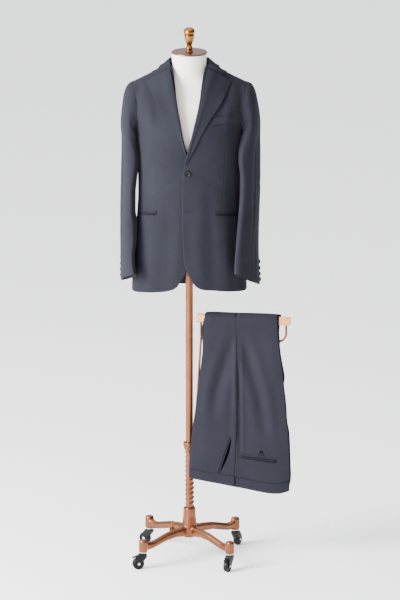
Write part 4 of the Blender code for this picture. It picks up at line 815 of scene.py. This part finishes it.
class SUIT_OT_buttons(SuitOperator):
    """Make the buttons, their thread and the lower buttonhole"""
    bl_idname = "suit.buttons"
    bl_label = "Buttons"

    def execute(self, context):
        nodes = ["front_button", "back_pocket_button"]
        nodes += [f"cuff_button_{side}_{k}" for side in SIDES for k in range(1, 5)]
        for node in nodes:
            disc, thread = button(node)
            thread.name = node + "_thread"
            on_trousers = node.startswith("back")
            for piece in (disc, thread):
                if on_trousers:
                    fold_trousers(piece)
                elif node == "front_button":
                    fold_jacket(piece)
                else:
                    fold_sleeve(piece, "left" if "left" in node else "right")
            finish(disc, "button_black", "column", node)
            finish(thread, "painted_shade_and_thread_black", "column")
        fronts = [bpy.data.objects[f"jacket_front_{side}_fine"] for side in SIDES]
        self.buttonhole(fronts, (POLE.x - 0.020, POLE.x + 0.004), 1.2125)
        return {"FINISHED"}

    @staticmethod
    def buttonhole(fronts, ends, up):
        """A worked buttonhole: two rows of gimp with a near-black strip of painted shade for the slit between
        them.
        """
        half = 0.0011
        for name, low, high, lift, slot in (
            ("buttonhole_upper", half * 0.35, half * 1.3, 0.0001, "jacket_cloth"),
            ("buttonhole_lower", -half * 1.3, -half * 0.35, 0.0001, "jacket_cloth"),
            # The slit: a near-black strip of painted shade
            ("buttonhole_painted_shade_line", -half * 0.5, half * 0.5, 0.00005, "painted_shade_and_thread_black"),
        ):
            def place(s, t, low=low, high=high):
                return ends[0] + (ends[1] - ends[0]) * s, up + low + (high - low) * t

            patch = laid_patch(name, fronts, place, 14, 3, lift, 0.0005)
            finish(patch, slot, "column")


def trouser_cloths():
    nodes = ("trouser_front_panel", "trouser_back_panel", "trouser_hidden_layers")
    return [bpy.data.objects[node + "_fine"] for node in nodes]


class SUIT_OT_trousers(SuitOperator):
    """Finish the trousers over the bar, with their pockets, loop and waistband"""
    bl_idname = "suit.trousers"
    bl_label = "Trousers"

    def execute(self, context):
        for node, levels in (
            ("trouser_hidden_layers", 3), ("belt_loop", 2), ("back_pocket_welt_upper", 2),
            ("back_pocket_welt_lower", 2), ("slash_pocket_edge", 2),
        ):
            piece = refined(node, levels)
            fold_trousers(piece)
            finish(piece, "trouser_cloth", "column", node, angle=CLOTH_ANGLE)
        for node, (width, length, area) in TROUSER_CUTS.items():
            piece = refined(node, 3)
            fold_trousers(piece)
            finish(piece, "trouser_cloth", "column", node, angle=CLOTH_ANGLE)
        band = refined("trouser_waistband", 3)
        fold_trousers(band)
        finish(band, "trouser_cloth", "column", "trouser_waistband", angle=CLOTH_ANGLE)
        width, length, area = WAISTBAND_CUT
        # Painted shade: a near-black patch in the side pocket's open mouth
        self.pocket_mouth_painted_shade()
        # Near-black lines of painted shade: the back pocket's open mouth, and the shadow under its lower welt
        for row in ("upper", "lower"):
            node = f"back_pocket_welt_{row}"
            painted_shade_line(f"back_pocket_painted_shade_line_{row}", node, trouser_cloths(), 48, 0.0006, 0.0036, 0.0005)
        self.button_tab()
        return {"FINISHED"}

    @staticmethod
    def pocket_mouth_painted_shade():
        """A near-black patch of painted shade for the side pocket's dark inside, where its mouth hangs open
        beside its edge.
        """
        top, foot = (-0.0437, 0.4290), (-0.0841, 0.3010)
        wide = 0.0100

        def place(s, t):
            gape = wide * math.sin(math.pi * min(1.0, t * 1.05)) ** 0.8
            along = top[0] + (foot[0] - top[0]) * t + 0.0026 + gape * s
            up = top[1] + (foot[1] - top[1]) * t
            spot = bar_frame() @ Vector((along, 0.0, 0.0))
            return spot.x, up

        patch = laid_patch("pocket_mouth_painted_shade", trouser_cloths(), place, 6, 24, 0.0001, 0.0004)
        finish(patch, "painted_shade_and_thread_black", "column")

    @staticmethod
    def button_tab():
        """The little cord loop that holds the back pocket's button."""
        low, high = (Vector(corner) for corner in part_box("back_pocket_button"))
        middle = (low + high) / 2
        points = []
        for k in range(17):
            turn = math.radians(-60.0 + 300.0 * k / 16)
            across = middle.x + 0.0062 * math.cos(turn) * (1.0 if math.sin(turn) < 0.2 else 0.62)
            up = middle.z + 0.004 + 0.0105 * math.sin(turn)
            spot, normal = on_cloth(across, up, trouser_cloths())
            points.append(spot + normal * 0.0011)
        finish(tube("button_tab", points, 0.0009), "painted_shade_and_thread_black", "column")


class SUIT_OT_form(SuitOperator):
    """Finish the dress form, its neck cap and its finial"""
    bl_idname = "suit.form"
    bl_label = "Dress form"

    def execute(self, context):
        finish(refined("form_torso", 2, 70.0, 0.8), "form_cream", "column", "form_torso")
        middle = Matrix.Translation((POLE.x, POLE.y, 0.0))
        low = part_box("neck_cap")[0][2]
        rows = [
            (0.0570, 0.0), (0.0584, 0.0004), (0.0592, 0.0014), (0.0592, 0.0034), (0.0586, 0.0044),
            (0.0572, 0.0050), (0.0450, 0.0050), (0.0446, 0.0046), (0.0440, 0.0046), (0.0436, 0.0050),
            (0.0100, 0.0050),
        ]
        cap = lathe("neck_cap_fine", [(r, low + z) for r, z in rows], 96, middle)
        finish(cap, "cap_bronze", "column", "neck_cap")
        finish(self.finial(middle), "gold_bronze", "column", "finial")
        return {"FINISHED"}

    @staticmethod
    def finial(middle):
        """A turned acorn: a spool foot, the nut with its fluted cup, and a tip."""
        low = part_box("finial")[0][2]
        rows = [
            (0.0115, 0.0), (0.0127, 0.0006), (0.0130, 0.0018), (0.0122, 0.0028), (0.0090, 0.0040),
            (0.0084, 0.0054), (0.0092, 0.0072), (0.0112, 0.0092), (0.0118, 0.0108), (0.0116, 0.0134),
            (0.0106, 0.0158), (0.0084, 0.0180), (0.0076, 0.0198), (0.0084, 0.0226), (0.0104, 0.0264),
            (0.0124, 0.0314), (0.0142, 0.0372),
            (0.0157, 0.0434), (0.0167, 0.0496), (0.0171, 0.0534), (0.0168, 0.0552), (0.0152, 0.0562),
            (0.0146, 0.0570), (0.0156, 0.0582), (0.0176, 0.0602), (0.0184, 0.0632), (0.0185, 0.0658),
            (0.0180, 0.0688), (0.0168, 0.0718), (0.0148, 0.0748), (0.0120, 0.0772), (0.0082, 0.0792),
            (0.0044, 0.0804), (0.0012, 0.0808),
        ]
        piece = lathe("finial_fine", [(r, low + z) for r, z in rows], 72, middle)
        places = vertices_of(piece)
        away = places[:, :2] - np.array([POLE.x, POLE.y])
        turn = np.arctan2(away[:, 1], away[:, 0])
        up = places[:, 2] - low
        fluted = soft_step(0.0210, 0.0280, up) * (1.0 - soft_step(0.0440, 0.0530, up))
        away *= (1.0 - 0.045 * fluted * (0.5 + 0.5 * np.cos(12.0 * turn)))[:, None]
        places[:, :2] = away + np.array([POLE.x, POLE.y])
        set_vertices(piece, places)
        return piece


STEPS_PER_TURN = 28


class SUIT_OT_column(SuitOperator):
    """Make the pole, its collar and clamp, and the column spring"""
    bl_idname = "suit.column"
    bl_label = "Column"

    def execute(self, context):
        middle = Matrix.Translation((POLE.x, POLE.y, 0.0))
        low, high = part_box("pole")
        radius = (high[0] - low[0]) / 2
        bottom, top = low[2], high[2]
        edge = 0.001
        rows = [(radius - edge, bottom), (radius, bottom + edge), (radius, top - edge), (radius - edge, top)]
        finish(lathe("pole_fine", rows, 64, middle), "bronze", "column", "pole")
        for node in ("column_collar", "rack_clamp"):
            finish(edges_eased(node, 0.0008), "bronze", "column", node)
        self.spring()
        return {"FINISHED"}

    @staticmethod
    def spring():
        """A round wire wound up the pole, which is squashed between the base and the column."""
        settings = bpy.context.scene.suit_stand
        low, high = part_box("column_spring")
        wire, turns = settings.spring_wire, settings.spring_turns
        reach = (high[0] - low[0]) / 2 - wire
        steps = turns * STEPS_PER_TURN
        points = []
        for k in range(steps + 1):
            share = k / steps
            turn = 2.0 * math.pi * turns * share
            up = low[2] + wire + (high[2] - low[2] - 2 * wire) * share
            points.append(Vector((POLE.x + reach * math.cos(turn), POLE.y + reach * math.sin(turn), up)))
        piece = finish(tube("column_spring_fine", points, wire), "bronze", None, "column_spring", angle=80.0)
        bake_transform(piece)


class SUIT_OT_base(SuitOperator):
    """Finish the cast base and its foot pedal"""
    bl_idname = "suit.base"
    bl_label = "Cast base"

    def execute(self, context):
        base = copy_of("base_casting", "base_casting_fine")
        apply_modifier(base, "REMESH", mode="VOXEL", voxel_size=0.0013, use_smooth_shade=True)
        settings = {"iterations": 10, "factor": 0.6, "use_only_smooth": True, "use_pin_boundary": False}
        apply_modifier(base, "CORRECTIVE_SMOOTH", **settings)
        finish(base, "bronze", "base", "base_casting", angle=60.0)
        pedal = edges_eased("foot_pedal", 0.0012, 3)
        finish(pedal, "gold_bronze", "pedal", "foot_pedal")
        return {"FINISHED"}


# The washer between a leg and its caster's fork, as (radius, height)
WASHER_PROFILE = (
    (0.0100, 0.0549), (0.0112, 0.0551), (0.0114, 0.0557), (0.0114, 0.0569), (0.0112, 0.0575),
    (0.0100, 0.0577),
)


class SUIT_OT_casters(SuitOperator):
    """Finish the casters: forks, wheels with treads and caps, washers and brake levers"""
    bl_idname = "suit.casters"
    bl_label = "Casters"

    def execute(self, context):
        for corner in CORNERS:
            fork = edges_eased(f"caster_fork_{corner}", 0.0007)
            finish(fork, "caster_black", f"fork_{corner}", f"caster_fork_{corner}")
            swivel = JOINTS[f"caster_swivel_{corner}"]["pos_m"]
            middle = Matrix.Translation((swivel[0], swivel[1], 0.0))
            washer = lathe(f"stem_washer_{corner}", WASHER_PROFILE, 48, middle)
            finish(washer, "pale_steel", f"fork_{corner}")
            self.wheel(corner)
            if f"brake_tilt_{corner}" in JOINTS:
                lever = edges_eased(f"brake_lever_{corner}", 0.0005)
                finish(lever, "caster_black", f"brake_{corner}", f"brake_lever_{corner}")
        return {"FINISHED"}

    @staticmethod
    def wheel(corner):
        spin = JOINTS[f"wheel_spin_{corner}"]
        place = standing(Vector(spin["pos_m"]), Vector(spin["axis"]))
        radius, half, axle = 0.0200, 0.0075, 0.0033
        end = half + 0.0030
        rows = [
            (axle * 0.8, -end), (axle, -end + 0.0004), (axle, -half + 0.0012), (0.0080, -half + 0.0014),
            (0.0088, -half + 0.0004), (0.0150, -half + 0.0002), (0.0158, -half + 0.0010),
            (0.0166, -half + 0.0004), (0.0184, -half + 0.0004), (0.0195, -half + 0.0014),
            (radius, -half + 0.0032), (radius, -0.0010), (radius - 0.0006, -0.0005),
            (radius - 0.0006, 0.0005), (radius, 0.0010),
        ]
        rows += [(r, -z) for r, z in reversed(rows[:11])]
        wheel = lathe(f"caster_wheel_{corner}_fine", rows, 60, place)
        finish(wheel, "caster_black", f"wheel_{corner}", f"caster_wheel_{corner}")
        rows = [
            (0.0036, end), (0.0042, end + 0.0002), (0.0042, end + 0.0008), (0.0034, end + 0.0014),
            (0.0014, end + 0.0017),
        ]
        half_turn = Matrix.Rotation(math.pi, 4, "X")
        caps = [lathe(f"axle_cap_{corner}", rows, 32, side) for side in (place @ half_turn, place)]
        finish(joined(caps), "pale_steel", f"wheel_{corner}").name = f"axle_caps_{corner}"


class SUIT_OT_rack(SuitOperator):
    """Finish the wooden bar and the rods that hold it"""
    bl_idname = "suit.rack"
    bl_label = "Trouser rack"

    def execute(self, context):
        finish(edges_eased("rack_bar", 0.0012, 3, 50.0), "pale_wood", "column", "rack_bar", angle=30.0)
        self.rods()
        return {"FINISHED"}

    @staticmethod
    def rods():
        """The rail under the bar, bent up at its far end, and the strut from the clamp to its near end."""
        bend, end = 0.030, BAR_HALF_LENGTH - 0.014
        under, low = -(BAR_HALF_HEIGHT + ROD_GAP), RAIL_HEIGHT - BAR.z
        place = bar_frame()
        rail = [Vector((-end + 0.004, 0.0, low))]
        for k in range(13):
            turn = math.radians(7.5 * k)
            across, up = end - bend * (1.0 - math.sin(turn)), low + bend * (1.0 - math.cos(turn))
            rail.append(Vector((across, 0.0, up)))
        rail.append(Vector((end, 0.0, under)))
        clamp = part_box("rack_clamp")[1][2] + ROD_GAP
        foot = Vector((POLE.x + 0.0182, POLE.y - 0.0050, clamp + 0.0217))
        strut = [
            Vector((foot.x + 0.0006, foot.y, clamp)), foot, place @ Vector((-end, 0.0, low)),
            place @ Vector((-end, 0.0, under)),
        ]
        for node, points in (("rack_rail", [place @ point for point in rail]), ("rack_strut", strut)):
            finish(tube(node + "_fine", points, ROD_RADIUS), "bronze", "column", node, angle=60.0)


class SUIT_OT_stage(SuitOperator):
    """Lay the floor, set the lights and the camera"""
    bl_idname = "suit.stage"
    bl_label = "Stage"

    def execute(self, context):
        deselect_all()
        bpy.ops.mesh.primitive_plane_add(size=160.0)
        floor = bpy.context.object
        floor.name = "floor"
        floor.data.materials.append(paper("seamless paper"))
        self.light("key_light", (-3.6, -2.2, 2.6), (0.0, 0.0, 1.15), 2.0, 800.0)
        self.light("low_light", (-2.6, -3.2, 0.9), (0.0, 0.0, 0.4), 1.2, 70.0)
        self.studio(context)
        self.camera(context)
        return {"FINISHED"}

    @staticmethod
    def studio(context):
        """A white studio whose right half is dimmer than its left, under a brighter ceiling."""
        world = bpy.data.worlds.new("studio")
        world.use_nodes = True
        tree = world.node_tree
        way = add_node(tree, "ShaderNodeTexCoord").outputs["Generated"]
        parts = add_node(tree, "ShaderNodeSeparateXYZ", Vector=way)
        sideways = add_node(
            tree, "ShaderNodeMapRange", {"interpolation_type": "SMOOTHSTEP"}, Value=parts.outputs["X"],
            i1=-0.35, i2=0.75, i3=1.1, i4=0.12,
        )
        upward = add_node(
            tree, "ShaderNodeMapRange", {"interpolation_type": "SMOOTHSTEP"}, Value=parts.outputs["Z"],
            i1=0.35, i2=1.0, i3=0.0, i4=2.3,
        )
        total = add_node(
            tree, "ShaderNodeMath", {"operation": "ADD"}, i0=sideways.outputs["Result"],
            i1=upward.outputs["Result"],
        )
        background = tree.nodes["Background"]
        background.inputs["Color"].default_value = (0.96, 0.975, 1.0, 1.0)
        tree.links.new(total.outputs["Value"], background.inputs["Strength"])
        context.scene.world = world

    @staticmethod
    def aim(item, target):
        way = Vector(target) - item.location
        item.rotation_euler = way.to_track_quat("-Z", "Y").to_euler()

    def light(self, name, place, target, size, power):
        bpy.ops.object.light_add(type="AREA", location=place)
        lamp = bpy.context.object
        lamp.name = name
        lamp.data.shape = "SQUARE"
        lamp.data.size = size
        lamp.data.energy = power
        self.aim(lamp, target)

    def camera(self, context):
        """A long lens, far off, so that upright lines stay upright."""
        elevation, distance = math.radians(14.7), 25.0
        target = Vector((POLE.x + 0.0350, POLE.y, 0.8839))
        way = Vector((0.0, -math.cos(elevation), math.sin(elevation)))
        bpy.ops.object.camera_add(location=target + way * distance)
        camera = bpy.context.object
        camera.data.sensor_fit = "VERTICAL"
        camera.data.sensor_height = 36.0
        camera.data.lens = 455.0
        camera.data.clip_end = 200.0
        self.aim(camera, target)
        context.scene.camera = camera


STEPS = (
    SUIT_OT_jacket, SUIT_OT_trousers, SUIT_OT_buttons, SUIT_OT_form, SUIT_OT_column, SUIT_OT_base,
    SUIT_OT_casters, SUIT_OT_rack, SUIT_OT_stage,
)


class SUIT_PT_panel(bpy.types.Panel):
    """The suit's settings and steps, in the sidebar"""
    bl_idname = "SUIT_PT_panel"
    bl_label = "Suit"
    bl_space_type = "VIEW_3D"
    bl_region_type = "UI"
    bl_category = "Suit"

    def draw(self, context):
        for group in (context.scene.suit_cloth, context.scene.suit_stand):
            for name in group.bl_rna.properties.keys():
                if name not in {"rna_type", "name"}:
                    self.layout.prop(group, name)
        for step in STEPS:
            self.layout.operator(step.bl_idname)


CLASSES = (SuitClothSettings, SuitStandSettings, *STEPS, SUIT_PT_panel)


def register():
    for item in CLASSES:
        bpy.utils.register_class(item)
    bpy.types.Scene.suit_cloth = bpy.props.PointerProperty(type=SuitClothSettings)
    bpy.types.Scene.suit_stand = bpy.props.PointerProperty(type=SuitStandSettings)


def unregister():
    del bpy.types.Scene.suit_cloth
    del bpy.types.Scene.suit_stand
    for item in reversed(CLASSES):
        bpy.utils.unregister_class(item)


def main():
    register()
    for step in STEPS:
        group, name = step.bl_idname.split(".")
        getattr(getattr(bpy.ops, group), name)()


if __name__ == "__main__":
    main()
